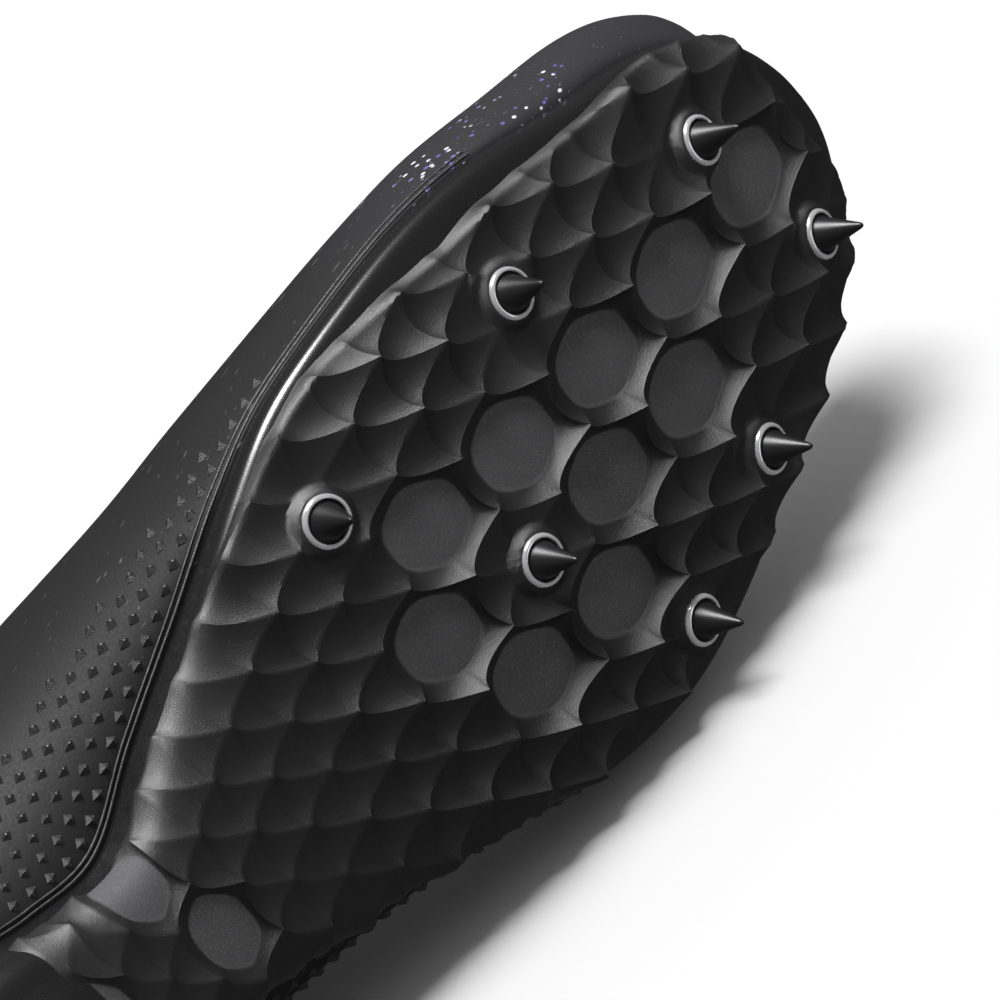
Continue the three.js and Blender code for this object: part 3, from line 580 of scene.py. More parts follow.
    @classmethod
    def smooth(cls, obj: bpy.types.Object, degrees: float = 35) -> None:
        """Smooth shading that keeps edges sharper than an angle."""
        cls.only(obj)
        bpy.ops.object.shade_smooth_by_angle(angle=math.radians(degrees), keep_sharp_edges=True)

    @classmethod
    def lay(cls, obj: bpy.types.Object, finish: "Finish", slot: str, replaces: Sequence[str] = (),
            degrees: float = 35) -> None:
        """Lays an upright piece down onto the row frame and finishes it.

        Args:
            obj: the piece.
            finish: its finish.
            slot: the record's material slot; not used.
            replaces: CAD nodes that it stands for.
            degrees: edges sharper than this stay sharp.
        """
        cls.smooth(obj, degrees)
        obj.data.transform(LAY_DOWN)
        obj.data.update()
        obj.data.materials.clear()
        obj.data.materials.append(finish.material())
        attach(obj, BODY)
        if replaces:
            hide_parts(*replaces)
        LOG.info("%s: %d vertices", obj.name, len(obj.data.vertices))


class Value:
    """A node's output socket that is used in Python expressions."""

    def __init__(self, nodes: "NodeTable", socket: bpy.types.NodeSocket) -> None:
        """Wraps a socket of a material's tree."""
        self.nodes = nodes
        self.socket = socket

    def maths(self, operation: str, *others: "Value | float", flipped: bool = False) -> "Value":
        """Adds a Math node on this value and others."""
        terms = [self, *others]
        if flipped:
            terms.reverse()
        return self.nodes.add("ShaderNodeMath", {"operation": operation}, dict(enumerate(terms)))

    def __add__(self, other: "Value | float") -> "Value":
        """Sum."""
        return self.maths("ADD", other)

    __radd__ = __add__

    def __sub__(self, other: "Value | float") -> "Value":
        """Difference."""
        return self.maths("SUBTRACT", other)

    def __rsub__(self, other: float) -> "Value":
        """Difference from a number."""
        return self.maths("SUBTRACT", other, flipped=True)

    def __mul__(self, other: "Value | float") -> "Value":
        """Product."""
        return self.maths("MULTIPLY", other)

    __rmul__ = __mul__

    def above(self, level: float, width: float) -> "Value":
        """Smooth step from 0 to 1 over a width round a level."""
        return self.nodes.add(
            "ShaderNodeMapRange", {"interpolation_type": "SMOOTHSTEP"},
            {"Value": self, "From Min": level - width / 2, "From Max": level + width / 2}, "Result")

    def below(self, level: float, width: float) -> "Value":
        """Smooth step from 1 to 0 over a width round a level."""
        return 1.0 - self.above(level, width)


class NodeTable:
    """Builds the nodes of one material."""

    def __init__(self, name: str) -> None:
        """Starts an empty material."""
        self.material = bpy.data.materials.new(name)
        self.material.use_nodes = True
        self.tree = self.material.node_tree
        self.tree.nodes.clear()

    def add(self, kind: str, settings: dict | None = None, values: dict | None = None,
            output: str | int = 0) -> Value:
        """Adds one node.

        Args:
            kind: the node's type.
            settings: properties that are set first; "stops" holds a ramp's places and colours.
            values: numbers, colours or sockets for its inputs, by name or index.
            output: which output is returned.

        Returns:
            That output, wrapped.
        """
        node = self.tree.nodes.new(kind)
        for key, value in (settings or {}).items():
            if key == "stops":
                self.set_stops(node.color_ramp, value)
            else:
                setattr(node, key, value)
        for key, value in (values or {}).items():
            if isinstance(value, Value):
                self.tree.links.new(value.socket, node.inputs[key])
            else:
                node.inputs[key].default_value = value
        return Value(self, node.outputs[output])

    @staticmethod
    def set_stops(ramp: bpy.types.ColorRamp, stops: Sequence[tuple]) -> None:
        """Gives a ramp its places and colours."""
        while len(ramp.elements) < len(stops):
            ramp.elements.new(1.0)
        for element, (place, colour) in zip(ramp.elements, stops):
            element.position = place
            element.color = colour

    def shoe_place(self, stretch: tuple[float, float, float] = (1, 1, 1)) -> Value:
        """Place in the upright shoe's frame in millimetres, from Object coordinates.

        Args:
            stretch: factors on x, y and z.

        Returns:
            A vector.
        """
        back = LAY_DOWN.inverted()
        place = self.add("ShaderNodeTexCoord", None, None, "Object")
        turned = self.add("ShaderNodeMapping", {"vector_type": "POINT"}, {
            "Vector": place, "Location": back.translation, "Rotation": back.to_euler(), "Scale": (1 / MM,) * 3})
        return self.add("ShaderNodeVectorMath", {"operation": "MULTIPLY"}, {0: turned, 1: stretch})

    def parts(self, vector: Value) -> tuple[Value, Value, Value]:
        """The three numbers of a vector."""
        split = self.add("ShaderNodeSeparateXYZ", None, {0: vector})
        outputs = split.socket.node.outputs
        return Value(self, outputs[0]), Value(self, outputs[1]), Value(self, outputs[2])

    def noise(self, vector: Value, scale: float, detail: float = 2.0, roughness: float = 0.5) -> Value:
        """Noise from 0 to 1."""
        return self.add("ShaderNodeTexNoise", {"noise_dimensions": "3D"},
                        {"Vector": vector, "Scale": scale, "Detail": detail, "Roughness": roughness}, "Fac")

    def blend(self, share: Value, first: Sequence[float] | Value, second: Sequence[float] | Value) -> Value:
        """Mix of two colours."""
        node = self.tree.nodes.new("ShaderNodeMix")
        node.data_type = "RGBA"
        colour_sockets = [s for s in node.inputs if s.type == "RGBA"]
        self.tree.links.new(share.socket, node.inputs[0])
        for socket, value in zip(colour_sockets, (first, second)):
            if isinstance(value, Value):
                self.tree.links.new(value.socket, socket)
            else:
                socket.default_value = (*value, 1.0) if len(value) == 3 else value
        return Value(self, next(s for s in node.outputs if s.type == "RGBA"))

    def bump(self, height: Value, depth: float, strength: float = 1.0) -> Value:
        """Bump whose height is in shares of a depth in millimetres."""
        return self.add("ShaderNodeBump", None,
                        {"Height": height, "Distance": depth * MM, "Strength": strength}, "Normal")

    def finish(self, values: dict) -> bpy.types.Material:
        """Adds the surface shader and the output."""
        shader = self.add("ShaderNodeBsdfPrincipled", None, values, "BSDF")
        output = self.tree.nodes.new("ShaderNodeOutputMaterial")
        self.tree.links.new(shader.socket, output.inputs["Surface"])
        return self.material


@dataclass(frozen=True)
class Finish:
    """A finish makes one material, once."""

    name: str

    def material(self) -> bpy.types.Material:
        """The material, made at its first use."""
        return bpy.data.materials.get(self.name) or self.make(NodeTable(self.name))

    def make(self, nodes: NodeTable) -> bpy.types.Material:
        """Builds the nodes."""
        raise NotImplementedError


@dataclass(frozen=True)
class MouldedPlate(Finish):
    """Black moulded plate: satin with a sparkling grain, and matt floors in its pits."""

    colour: tuple[float, float, float] = (0.005, 0.005, 0.0055)
    floor_colour: tuple[float, float, float] = (0.026, 0.025, 0.028)
    roughness: float = 0.4
    floor_roughness: float = 0.8
    grain: float = 0.11
    shine: float = 1.0

    def make(self, nodes: NodeTable) -> bpy.types.Material:
        """Builds the nodes."""
        place = nodes.shoe_place()
        floor = nodes.add("ShaderNodeAttribute", {"attribute_name": "pit_floor"}, None, "Fac")
        fine = nodes.noise(place, 5.0, 3.0, 0.7)
        specks = nodes.add("ShaderNodeTexVoronoi", {"feature": "F1"}, {"Vector": place, "Scale": 2.6}, "Distance")
        speck = specks.below(0.2, 0.1) * floor
        colour = nodes.blend(floor, self.colour, self.floor_colour)
        colour = nodes.blend(speck * 0.4, colour, (0.16, 0.15, 0.16))
        rough = self.roughness + floor * (self.floor_roughness - self.roughness) + (fine - 0.5) * 0.3
        return nodes.finish({
            "Base Color": colour, "Roughness": rough, "IOR": 1.5, "Specular IOR Level": self.shine,
            "Normal": nodes.bump(fine, self.grain),
        })


@dataclass(frozen=True)
class CoatedUpper(Finish):
    """Black coated fabric of the upper, with fine lengthwise dashes and a ribbed, speckled toe."""

    colour: tuple[float, float, float] = (0.008, 0.008, 0.0085)
    toe_colour: tuple[float, float, float] = (0.020, 0.020, 0.022)
    speckle: tuple[float, float, float] = (0.50, 0.50, 0.54)
    tinted_speckle: tuple[float, float, float] = (0.10, 0.07, 0.26)
    toe_start: float = 205.0
    rib_pitch: float = 1.1

    def make(self, nodes: NodeTable) -> bpy.types.Material:
        """Builds the nodes."""
        place = nodes.shoe_place()
        x, y, _ = nodes.parts(place)
        weave = nodes.noise(place, 1.8, 3.0, 0.65)
        long = nodes.noise(nodes.shoe_place((0.24, 1.7, 1.7)), 1.0, 1.0, 0.5)
        dash = long.above(0.735, 0.02) * x.above(120.0, 30.0)
        toe = x.above(self.toe_start, 50.0)
        flake = nodes.add("ShaderNodeTexVoronoi", {"feature": "F1"},
                          {"Vector": nodes.shoe_place((0.55, 1, 1)), "Scale": 0.75}, "Distance").below(0.24, 0.1)
        clump = nodes.noise(place, 0.11, 1.0, 0.5).above(0.49, 0.05)
        near = x.above(self.toe_start + 8, 12.0) * x.below(262.0, 10.0) * y.below(-6.0, 8.0)
        tint = nodes.noise(place, 0.35, 1.0, 0.5).above(0.5, 0.1)
        ribs = (x * (2 * math.pi / self.rib_pitch)).maths("SINE") * x.above(246.0, 12.0)
        colour = nodes.blend(toe, self.colour, self.toe_colour)
        colour = nodes.blend(dash * 0.22, colour, (0.20, 0.20, 0.19))
        colour = nodes.blend(flake * clump * near * 0.8, colour, nodes.blend(tint, self.speckle, self.tinted_speckle))
        return nodes.finish({
            "Base Color": colour, "Roughness": 0.62 + (weave - 0.5) * 0.3 - 0.2 * toe, "IOR": 1.5,
            "Specular IOR Level": 0.22, "Normal": nodes.bump(weave * 0.8 + ribs * 0.2, 0.07),
        })


@dataclass(frozen=True)
class Fabric(Finish):
    """Plain woven cloth: its colour follows the weave's height, darker in the hollows as painted shade, with random
    tone from a fuzz noise.
    """

    colour: tuple[float, float, float] = (0.03, 0.03, 0.032)
    thread: float = 1.1
    roughness: float = 0.9

    def make(self, nodes: NodeTable) -> bpy.types.Material:
        """Builds the nodes."""
        place = nodes.shoe_place()
        x, y, z = nodes.parts(place)
        turn = 2 * math.pi / self.thread
        over = (x * turn).maths("SINE") * ((y + z) * turn).maths("SINE")
        fuzz = nodes.noise(place, 2.0, 3.0, 0.6)
        # Weave height, also used for the bump: colour darker where it is low is painted shade in the weave's hollows;
        # the fuzz share is random tone
        high = over * 0.4 + fuzz * 0.6
        colour = nodes.blend(high, tuple(0.6 * c for c in self.colour), tuple(1.5 * c for c in self.colour))
        return nodes.finish({
            "Base Color": colour, "Roughness": self.roughness + (fuzz - 0.5) * 0.1,
            "Normal": nodes.bump(high, 0.15), "Sheen Weight": 0.06, "Sheen Roughness": 0.5,
        })


@dataclass(frozen=True)
class Metal(Finish):
    """Turned metal with fine scratches."""

    colour: tuple[float, float, float] = (0.75, 0.75, 0.77)
    metallic: float = 1.0
    roughness: float = 0.16

    def make(self, nodes: NodeTable) -> bpy.types.Material:
        """Builds the nodes."""
        place = nodes.shoe_place()
        scratch = nodes.noise(nodes.shoe_place((1, 1, 6)), 1.4, 3.0, 0.7)
        cloud = nodes.noise(place, 0.5, 2.0, 0.5)
        return nodes.finish({
            "Base Color": (*self.colour, 1.0), "Metallic": self.metallic,
            "Roughness": self.roughness + (cloud - 0.5) * 0.12 + (scratch - 0.5) * 0.08,
            "Normal": nodes.bump(scratch, 0.006),
        })


@dataclass(frozen=True)
class StudioFloor(Finish):
    """Plain pale floor."""

    colour: tuple[float, float, float] = (0.33, 0.33, 0.33)

    def make(self, nodes: NodeTable) -> bpy.types.Material:
        """Builds the nodes."""
        return nodes.finish({"Base Color": (*self.colour, 1.0), "Roughness": 0.9, "Specular IOR Level": 0.1})


PLATE_FINISH = MouldedPlate("moulded_plate")
RIM_FINISH = MouldedPlate("moulded_rim", roughness=0.27, grain=0.012)
UPPER_FINISH = CoatedUpper("coated_upper")
TONGUE_FINISH = Fabric("tongue_cloth", (0.014, 0.014, 0.015))
INSOLE_FINISH = Fabric("insole_cloth", (0.03, 0.03, 0.032), 0.8)
LINING_FINISH = Fabric("lining_cloth", (0.018, 0.018, 0.019), 0.9)
BINDING_FINISH = Fabric("binding_tape", (0.011, 0.011, 0.012), 0.7)
THREAD_FINISH = Fabric("sewing_thread", (0.03, 0.03, 0.031), 0.4, 0.7)
LACE_FINISH = Fabric("lace_braid", (0.014, 0.014, 0.015), 0.9)
RUBBER_FINISH = MouldedPlate("moulded_trim", (0.008, 0.008, 0.0085), roughness=0.42)
RING_FINISH = Metal("ring_steel", metallic=0.75)
SPIKE_FINISH = Metal("spike_black", (0.012, 0.012, 0.013), 0.4, 0.36)
FLOOR_FINISH = StudioFloor("studio_floor")


@dataclass
class Outsole:
    """The moulded plate: its smooth body, its honeycomb of pits and pointed scales, and the spike seats."""

    first_column: int = -6
    first_row: int = -3
    chart: tuple[str, ...] = (
        "ssssssssssssss",
        "ssssssssssssss",
        "sssssxsxsxssss",
        "ssssssooooosss",
        "ssosssoxoosxss",
        "sososssoosxsss",
        "sssssssssxssss",
        "ssssssssssssss",
    )
    cell_step: float = 0.0717
    cell_growth: float = 0.0028
    cell_origin: float = 0.5857
    cell_slant: float = 0.58
    row_step: float = 0.1452
    row_drift: float = 0.0484
    row_origin: float = -0.1075
    steps: int = 20
    floor_rings: int = 15
    bow: float = 0.065
    uneven: float = 0.4
    peak: float = 4.5
    waist_peak: float = 2.2
    power: float = 2.0
    hollow: float = 0.35
    sunk: float = 0.9
    smooth_bands: tuple[tuple[float, float], ...] = ((120, 3.0), (175, 3.5), (205, 8.0), (235, 7.0), (262, 4.0))
    medial_band: float = 2.5
    back: float = 62.0
    heel_fade: float = 8.0
    overhang: float = 9.0
    root: float = 1.4
    seat_radius: float = 4.5
    seat_height: float = 2.3
    seat_blend: float = 1.8
    seat_hole: float = 3.9
    rows: np.ndarray = field(init=False)
    across: np.ndarray = field(init=False)
    surface: np.ndarray = field(init=False)
    limits: np.ndarray = field(init=False)

    def __post_init__(self) -> None:
        """Tables the curled underside by x and by distance across it."""
        self.rows = np.linspace(0.5, LENGTH - 0.3, 700)
        self.across = np.arange(-80, 80.01, 0.25)
        self.surface = np.zeros((len(self.rows), len(self.across), 2))
        self.limits = np.zeros((len(self.rows), 2))
        s = FORM.section(FORM.place_of(self.rows))
        share = np.sin(np.linspace(-np.pi / 2, np.pi / 2, 401))
        share = np.sign(share) * (1 - (1 - np.abs(share)) ** 1.6)
        for k, x in enumerate(self.rows):
            half = (s["med_sole"][k] - s["lat_sole"][k]) / 2
            middle = (s["med_sole"][k] + s["lat_sole"][k]) / 2
            y = middle + half * share
            z = self.curled(x, y, share)
            run = np.concatenate([[0], np.cumsum(np.hypot(np.diff(y), np.diff(z)))])
            run += middle - np.interp(0.0, share, run)
            self.limits[k] = run[0], run[-1]
            self.surface[k, :, 0] = np.interp(self.across, run, y)
            self.surface[k, :, 1] = np.interp(self.across, run, z)

    @staticmethod
    def curled(x: np.ndarray, y: np.ndarray, share: np.ndarray) -> np.ndarray:
        """Height of the underside where it curls up to the footbed at its edges."""
        curl = 1 - (1 - np.abs(share) ** 6) ** (1 / 6)
        low = FORM.underside(x, y)
        return low + (FORM.footbed(x) - low) * curl

    def on_sole(self, x: np.ndarray, t: np.ndarray) -> np.ndarray:
        """Points of the curled underside.

        Args:
            x: places along the foot.
            t: distances across it, over the surface.

        Returns:
            One point in each row.
        """
        i = np.clip((x - self.rows[0]) / (self.rows[1] - self.rows[0]), 0, len(self.rows) - 1.001)
        j = np.clip((t - self.across[0]) / 0.25, 0, len(self.across) - 1.001)
        i0, j0 = i.astype(int), j.astype(int)
        u, v = (i - i0)[:, None], (j - j0)[:, None]
        f = self.surface
        yz = (f[i0, j0] * (1 - u) * (1 - v) + f[i0 + 1, j0] * u * (1 - v)
              + f[i0, j0 + 1] * (1 - u) * v + f[i0 + 1, j0 + 1] * u * v)
        return np.column_stack([x, yz])

    def out_at(self, x: np.ndarray, t: np.ndarray) -> np.ndarray:
        """Directions out of the curled underside."""
        step = 0.6
        along = self.on_sole(x + step, t) - self.on_sole(x - step, t)
        over = self.on_sole(x, t + step) - self.on_sole(x, t - step)
        way = np.cross(over, along)
        length = np.linalg.norm(way, axis=1)
        return way / np.maximum(length, 1e-6)[:, None]

    def cell_place(self, column: np.ndarray, row: np.ndarray) -> tuple[np.ndarray, np.ndarray]:
        """Place along and across the foot of a point of the honeycomb."""
        along = column - self.cell_slant * row
        x = LENGTH * (self.cell_origin + self.cell_step * along + self.cell_growth * along * along)
        t = BALL_WIDTH * (self.row_origin + self.row_drift * column + self.row_step * row)
        return x, t

    def peak_height(self, x: np.ndarray) -> np.ndarray:
        """Height of the peaks, lower behind the ball and gone before the heel."""
        share = x / LENGTH
        fade = ease((share - 0.2) / 0.1)
        return fade * (self.waist_peak + (self.peak - self.waist_peak) * ease((share - 0.42) / 0.12))

    def body(self) -> bpy.types.Object:
        """Smooth body of the plate, curled up to the footbed at its edges."""
        s = FORM.section(np.linspace(0, LAST_ROW, 181))
        share = np.sin(np.linspace(-np.pi / 2, np.pi / 2, 61))
        share = np.sign(share) * (1 - (1 - np.abs(share)) ** 1.3)
        middle = ((s["med_sole"] + s["lat_sole"]) / 2)[:, None]
        half = ((s["med_sole"] - s["lat_sole"]) / 2)[:, None]
        x = np.repeat(s["x"][:, None], len(share), 1)
        y = middle + half * share[None, :]
        under = np.stack([x, y, self.curled(x, y, share[None, :])], -1)
        top_share = np.linspace(1, -1, 13)[1:]
        xt = np.repeat(s["x"][:, None], len(top_share), 1)
        top = np.stack([xt, middle + half * top_share[None, :], FORM.footbed(xt)], -1)
        return Bench.loft("outsole_body", np.concatenate([under, top], 1))

    def cell_template(self) -> tuple[bpy.types.Object, np.ndarray, np.ndarray]:
        """One hexagonal cell: a fan of six triangles, each cut into many.

        Returns:
            The cell's object, its vertices' weights on the centre and the two corners of their sixth, and the
            number of that sixth.
        """
        Bench.clear()
        bpy.ops.mesh.primitive_circle_add(vertices=6, radius=1, fill_type="TRIFAN")
        cell = Bench.named("cell")
        Bench.edit_all(cell)
        bpy.ops.mesh.subdivide(number_cuts=self.steps - 1)
        bpy.ops.object.mode_set(mode="OBJECT")
        at = Bench.points(cell)[:, :2]
        first = math.atan2(at[0, 1], at[0, 0]) if np.linalg.norm(at[0]) > 0.5 else math.pi / 2
        angle = np.mod(np.arctan2(at[:, 1], at[:, 0]) - first + 1e-7, 2 * np.pi)
        sixth = np.clip(np.floor(angle / (np.pi / 3)).astype(int), 0, 5)
        a = np.stack([np.cos(first + sixth * np.pi / 3), np.sin(first + sixth * np.pi / 3)], 1)
        b = np.stack([np.cos(first + (sixth + 1) * np.pi / 3), np.sin(first + (sixth + 1) * np.pi / 3)], 1)
        det = a[:, 0] * b[:, 1] - a[:, 1] * b[:, 0]
        w1 = (at[:, 0] * b[:, 1] - at[:, 1] * b[:, 0]) / det
        w2 = (a[:, 0] * at[:, 1] - a[:, 1] * at[:, 0]) / det
        weights = np.clip(np.stack([1 - w1 - w2, w1, w2], 1), 0, 1)
        weights = np.rint(weights * self.steps) / self.steps
        return cell, weights, sixth

    def evenness(self, points: np.ndarray) -> np.ndarray:
        """How high the peaks at points of the honeycomb stand, as shares: uneven, but all full at the medial edge.

        Args:
            points: columns and rows.

        Returns:
            One share for each point.
        """
        key = np.rint(points * 3)
        chance = np.modf(np.abs(np.sin(key @ [12.9898, 78.233]) * 437.58))[0]
        _, t = self.cell_place(points[:, 0], points[:, 1])
        return 1 - self.uneven * chance * (1 - ease((t - 0.2 * BALL_WIDTH) / 12))

    def cell_shape(self, kind: str, weights: np.ndarray,
                   peaks: np.ndarray) -> tuple[np.ndarray, np.ndarray, np.ndarray]:
        """Outline and height of one cell.

        Args:
            kind: o for a pit, x for a spike's cell, s for a scale.
            weights: weights on the centre and two corners.
            peaks: how high the centre and the corners stand.

        Returns:
            Factor on the distance from the centre, height as a share of the peaks, and whether it is a pit's floor.
        """
        out = 1 - weights[:, 0]
        turn = weights[:, 2] / np.maximum(weights[:, 1] + weights[:, 2], 1e-9)
        crest = (1 - turn) ** self.power * peaks[:, 1] + turn ** self.power * peaks[:, 2]
        if kind in "sx":
            middle = self.hollow if kind == "x" else 1.0
            height = np.sum(weights ** self.power * peaks * [middle, 1, 1], 1)
            return np.ones(len(out)), height, np.zeros(len(out))
        inner = self.floor_rings / self.steps
        wall = np.clip((out - inner) / (1 - inner), 0, 1)
        rounding = 0.11 * np.abs(2 * turn - 1) ** 2.5 * (1 - wall)
        return 1 - rounding, crest * wall ** 1.25, (out <= inner + 1e-6).astype(float)

    def bowed(self, kind: str, weights: np.ndarray) -> np.ndarray:
        """Shift in the honeycomb that bows the ridges towards the heel, the tips and corners staying.

        Args:
            kind: the cell's kind.
            weights: weights on the centre and two corners.

        Returns:
            Shifts in columns and rows.
        """
        centre, first, second = weights.T
        if kind in "sx":
            share = 4 * (first * second + centre * (first + second))
        else:
            inner = self.floor_rings / self.steps
            share = 4 * first * second * np.clip((1 - centre - inner) / (1 - inner), 0, 1)
        return share[:, None] * np.array([-self.bow, self.bow / 3])

    def relief(self) -> bpy.types.Object:
        """Thin solid whose outer face has the pits and the pointed scales."""
        cell, weights, sixth = self.cell_template()
        corners = np.array([(1, 2), (2, 1), (1, -1), (-1, -2), (-2, -1), (-1, 1)]) / 3
        here, ahead = corners[sixth], corners[(sixth + 1) % 6]
        offset = weights[:, 1:2] * here + weights[:, 2:3] * ahead
        cells = []
        for row_index, line in enumerate(self.chart):
            for column_index, kind in enumerate(line):
                column, row = column_index + self.first_column, row_index + self.first_row
                x, t = self.cell_place(np.array([float(column)]), np.array([float(row)]))
                low, high = (float(np.interp(x[0], self.rows, self.limits[:, n])) for n in (0, 1))
                if not (self.back - 2 < x[0] < LENGTH + 8 and low - self.overhang <= t[0] <= high + self.overhang):
                    continue
                middle = np.array([[column, row]], float)
                peaks = np.column_stack([np.repeat(self.evenness(middle), len(here)),
                                         self.evenness(middle + here), self.evenness(middle + ahead)])
                factor, height, floor = self.cell_shape(kind, weights, peaks)
                grid = middle + offset * factor[:, None] + self.bowed(kind, weights)
                twin = Bench.copy(cell, f"cell_{column}_{row}")
                Bench.move_points(twin, np.column_stack([grid, height]))
                mark = twin.data.attributes.new("pit_floor", "FLOAT", "POINT")
                mark.data.foreach_set("value", floor.astype(np.float32))
                cells.append(twin)
        bpy.data.objects.remove(cell)
        sheet = Bench.join(cells)
        sheet.name = "outsole_relief"
        sheet.data.name = "outsole_relief"
        Bench.edit_all(sheet)
        bpy.ops.mesh.remove_doubles(threshold=0.002)
        bpy.ops.object.mode_set(mode="OBJECT")
        self.shape_sheet(sheet)
        self.close_sheet(sheet)
        return sheet

    def shape_sheet(self, sheet: bpy.types.Object) -> None:
        """Moves the honeycomb from its flat chart onto the curled sole, and trims it to the plate."""
        at = Bench.points(sheet)
        x, t = self.cell_place(at[:, 0], at[:, 1])
        low, high = (np.interp(x, self.rows, self.limits[:, n]) for n in (0, 1))
        inside = np.minimum.reduce([x - self.back, LENGTH - 2 - x, t - low, high - t]) > 0
        height = at[:, 2] * self.peak_height(x)
        for share_x, share_y in SPIKE_SEATS:
            far = np.hypot(x - share_x * LENGTH, t - share_y * BALL_WIDTH)
            near = 1 - ease((far - self.seat_radius) / self.seat_blend)
            height = height * (1 - near) + near * np.where(far < self.seat_hole, -0.8, self.seat_height)
        lateral = ease((t - low - np.interp(x, *np.transpose(self.smooth_bands))) / 3.0)
        medial = ease((high - self.medial_band - t) / 2.5)
        toe = ease((LENGTH - 3.5 - x) / 3)
        heel = ease((x - self.back - 4) / self.heel_fade)
        mask = lateral * medial * toe * heel
        height = (0.05 + height) * mask - self.sunk * (1 - mask)
        places = self.on_sole(x, t) + self.out_at(x, t) * height[:, None]
        Bench.move_points(sheet, places)
        corners = np.zeros(len(sheet.data.loops), int)
        sheet.data.loops.foreach_get("vertex_index", corners)
        dropped = ~inside[corners].reshape(-1, 3).all(1)
        Bench.pick_faces(sheet, dropped)
        bpy.ops.mesh.delete(type="FACE")
        bpy.ops.object.mode_set(mode="OBJECT")

    def close_sheet(self, sheet: bpy.types.Object) -> None:
        """Gives the sheet its thickness into the plate, with a coarse inner face."""
        facing = sum(p.normal.z * p.area for p in sheet.data.polygons)
        if facing > 0:
            Bench.pick_faces(sheet, np.ones(len(sheet.data.polygons), bool))
            bpy.ops.mesh.flip_normals()
            bpy.ops.object.mode_set(mode="OBJECT")
        outer = len(sheet.data.polygons)
        Bench.apply(sheet, "SOLIDIFY", thickness=self.root, offset=-1.0, use_rim=True)
        centres = np.zeros(len(sheet.data.polygons), bool)
        centres[outer:2 * outer] = True
        Bench.pick_faces(sheet, centres)
        bpy.ops.mesh.decimate(ratio=0.04)
        bpy.ops.object.mode_set(mode="OBJECT")
        LOG.info("relief: %d outer faces, %d in all", outer, len(sheet.data.polygons))

    def seats(self) -> list[bpy.types.Object]:
        """Dark sockets of the spikes, seen inside their rings."""
        profile = ((0.0, 0.4), (self.seat_radius - 0.3, 0.4), (self.seat_radius - 0.3, -1.2), (0.0, -1.2))
        return [turned(f"seat_{k}", profile, 48, share_x * LENGTH, share_y * BALL_WIDTH)
                for k, (share_x, share_y) in enumerate(SPIKE_SEATS, 1)]

    def build(self) -> None:
        """Builds and lays down the plate."""
        Bench.lay(self.body(), RIM_FINISH, "plate", ["outsole_plate"], 40)
        Bench.lay(self.relief(), PLATE_FINISH, "plate", (), 32)
        seats = Bench.join(self.seats())
        seats.name = "spike_seats"
        Bench.lay(seats, PLATE_FINISH, "plate", (), 40)


def turned(name: str, profile: Sequence[tuple[float, float]], sides: int, x: float, y: float) -> bpy.types.Object:
    """Turned solid standing out of the sole at a place in plan.

    Args:
        name: name of the piece.
        profile: closed profile as (radius, height out of the sole).
        sides: points round it.
        x: place along the foot.
        y: place across it.

    Returns:
        The new object.
    """
    Bench.clear()
    bpy.ops.mesh.primitive_circle_add(vertices=len(profile), radius=1, fill_type="NOTHING")
    obj = Bench.named(name)
    flat = np.asarray(profile, float)
    Bench.move_points(obj, np.column_stack([flat[:, 0], np.zeros(len(flat)), flat[:, 1]]))
    Bench.edit_all(obj)
    bpy.ops.mesh.spin(steps=sides, angle=2 * math.pi, center=(0, 0, 0), axis=(0, 0, 1))
    bpy.ops.object.mode_set(mode="OBJECT")
    Bench.clean(obj, 0.0005)
    foot = Vector((x, y, float(FORM.underside(x, y))))
    way = Vector(FORM.out_of_sole(x, y).tolist())
    turn = Vector((0, 0, 1)).rotation_difference(way).to_matrix().to_4x4()
    obj.data.transform(Matrix.Translation(foot) @ turn)
    return obj


@dataclass
class Studs:
    """Steel rings and screwed-in spikes."""

    base: float = 0.7
    ring_outer: float = 4.4
    ring_inner: float = 3.7
    ring_height: float = 2.2
    flange: float = 3.45
    flange_height: float = 1.9
    spike_base: float = 2.95
    tip: float = 0.5
    length: float = 9.0

    def build(self) -> None:
        """Builds and lays down each ring and spike."""
        b, top = self.base, self.base + self.ring_height
        ring = ((self.ring_inner, b), (self.ring_outer, b), (self.ring_outer, top - 0.55),
                (self.ring_outer - 0.12, top - 0.25), (self.ring_outer - 0.38, top - 0.04),
                (self.ring_outer - 0.6, top), (self.ring_outer - 0.78, top - 0.1), (self.ring_inner, top - 0.6))
        f, end = b + self.flange_height, b + 1.0 + self.length
        spike = ((0.0, b - 3.6), (2.2, b - 3.6), (2.3, b - 3.4), (2.3, b), (self.flange - 0.15, b),
                 (self.flange, b + 0.15), (self.flange, f - 0.25), (self.flange - 0.25, f), (self.spike_base + 0.2, f),
                 (self.spike_base, f + 0.3), (self.tip + 0.1, end - 0.6), (self.tip, end - 0.35),
                 (self.tip * 0.6, end - 0.08), (0.0, end))
        for k, (share_x, share_y) in enumerate(SPIKE_SEATS, 1):
            place = share_x * LENGTH, share_y * BALL_WIDTH
            Bench.lay(turned(f"steel_ring_{k}", ring, 64, *place), RING_FINISH, "spike_ring", [f"spike_ring_{k}"], 30)
            Bench.lay(turned(f"stud_{k}", spike, 48, *place), SPIKE_FINISH, "spike", [f"spike_{k}"], 30)


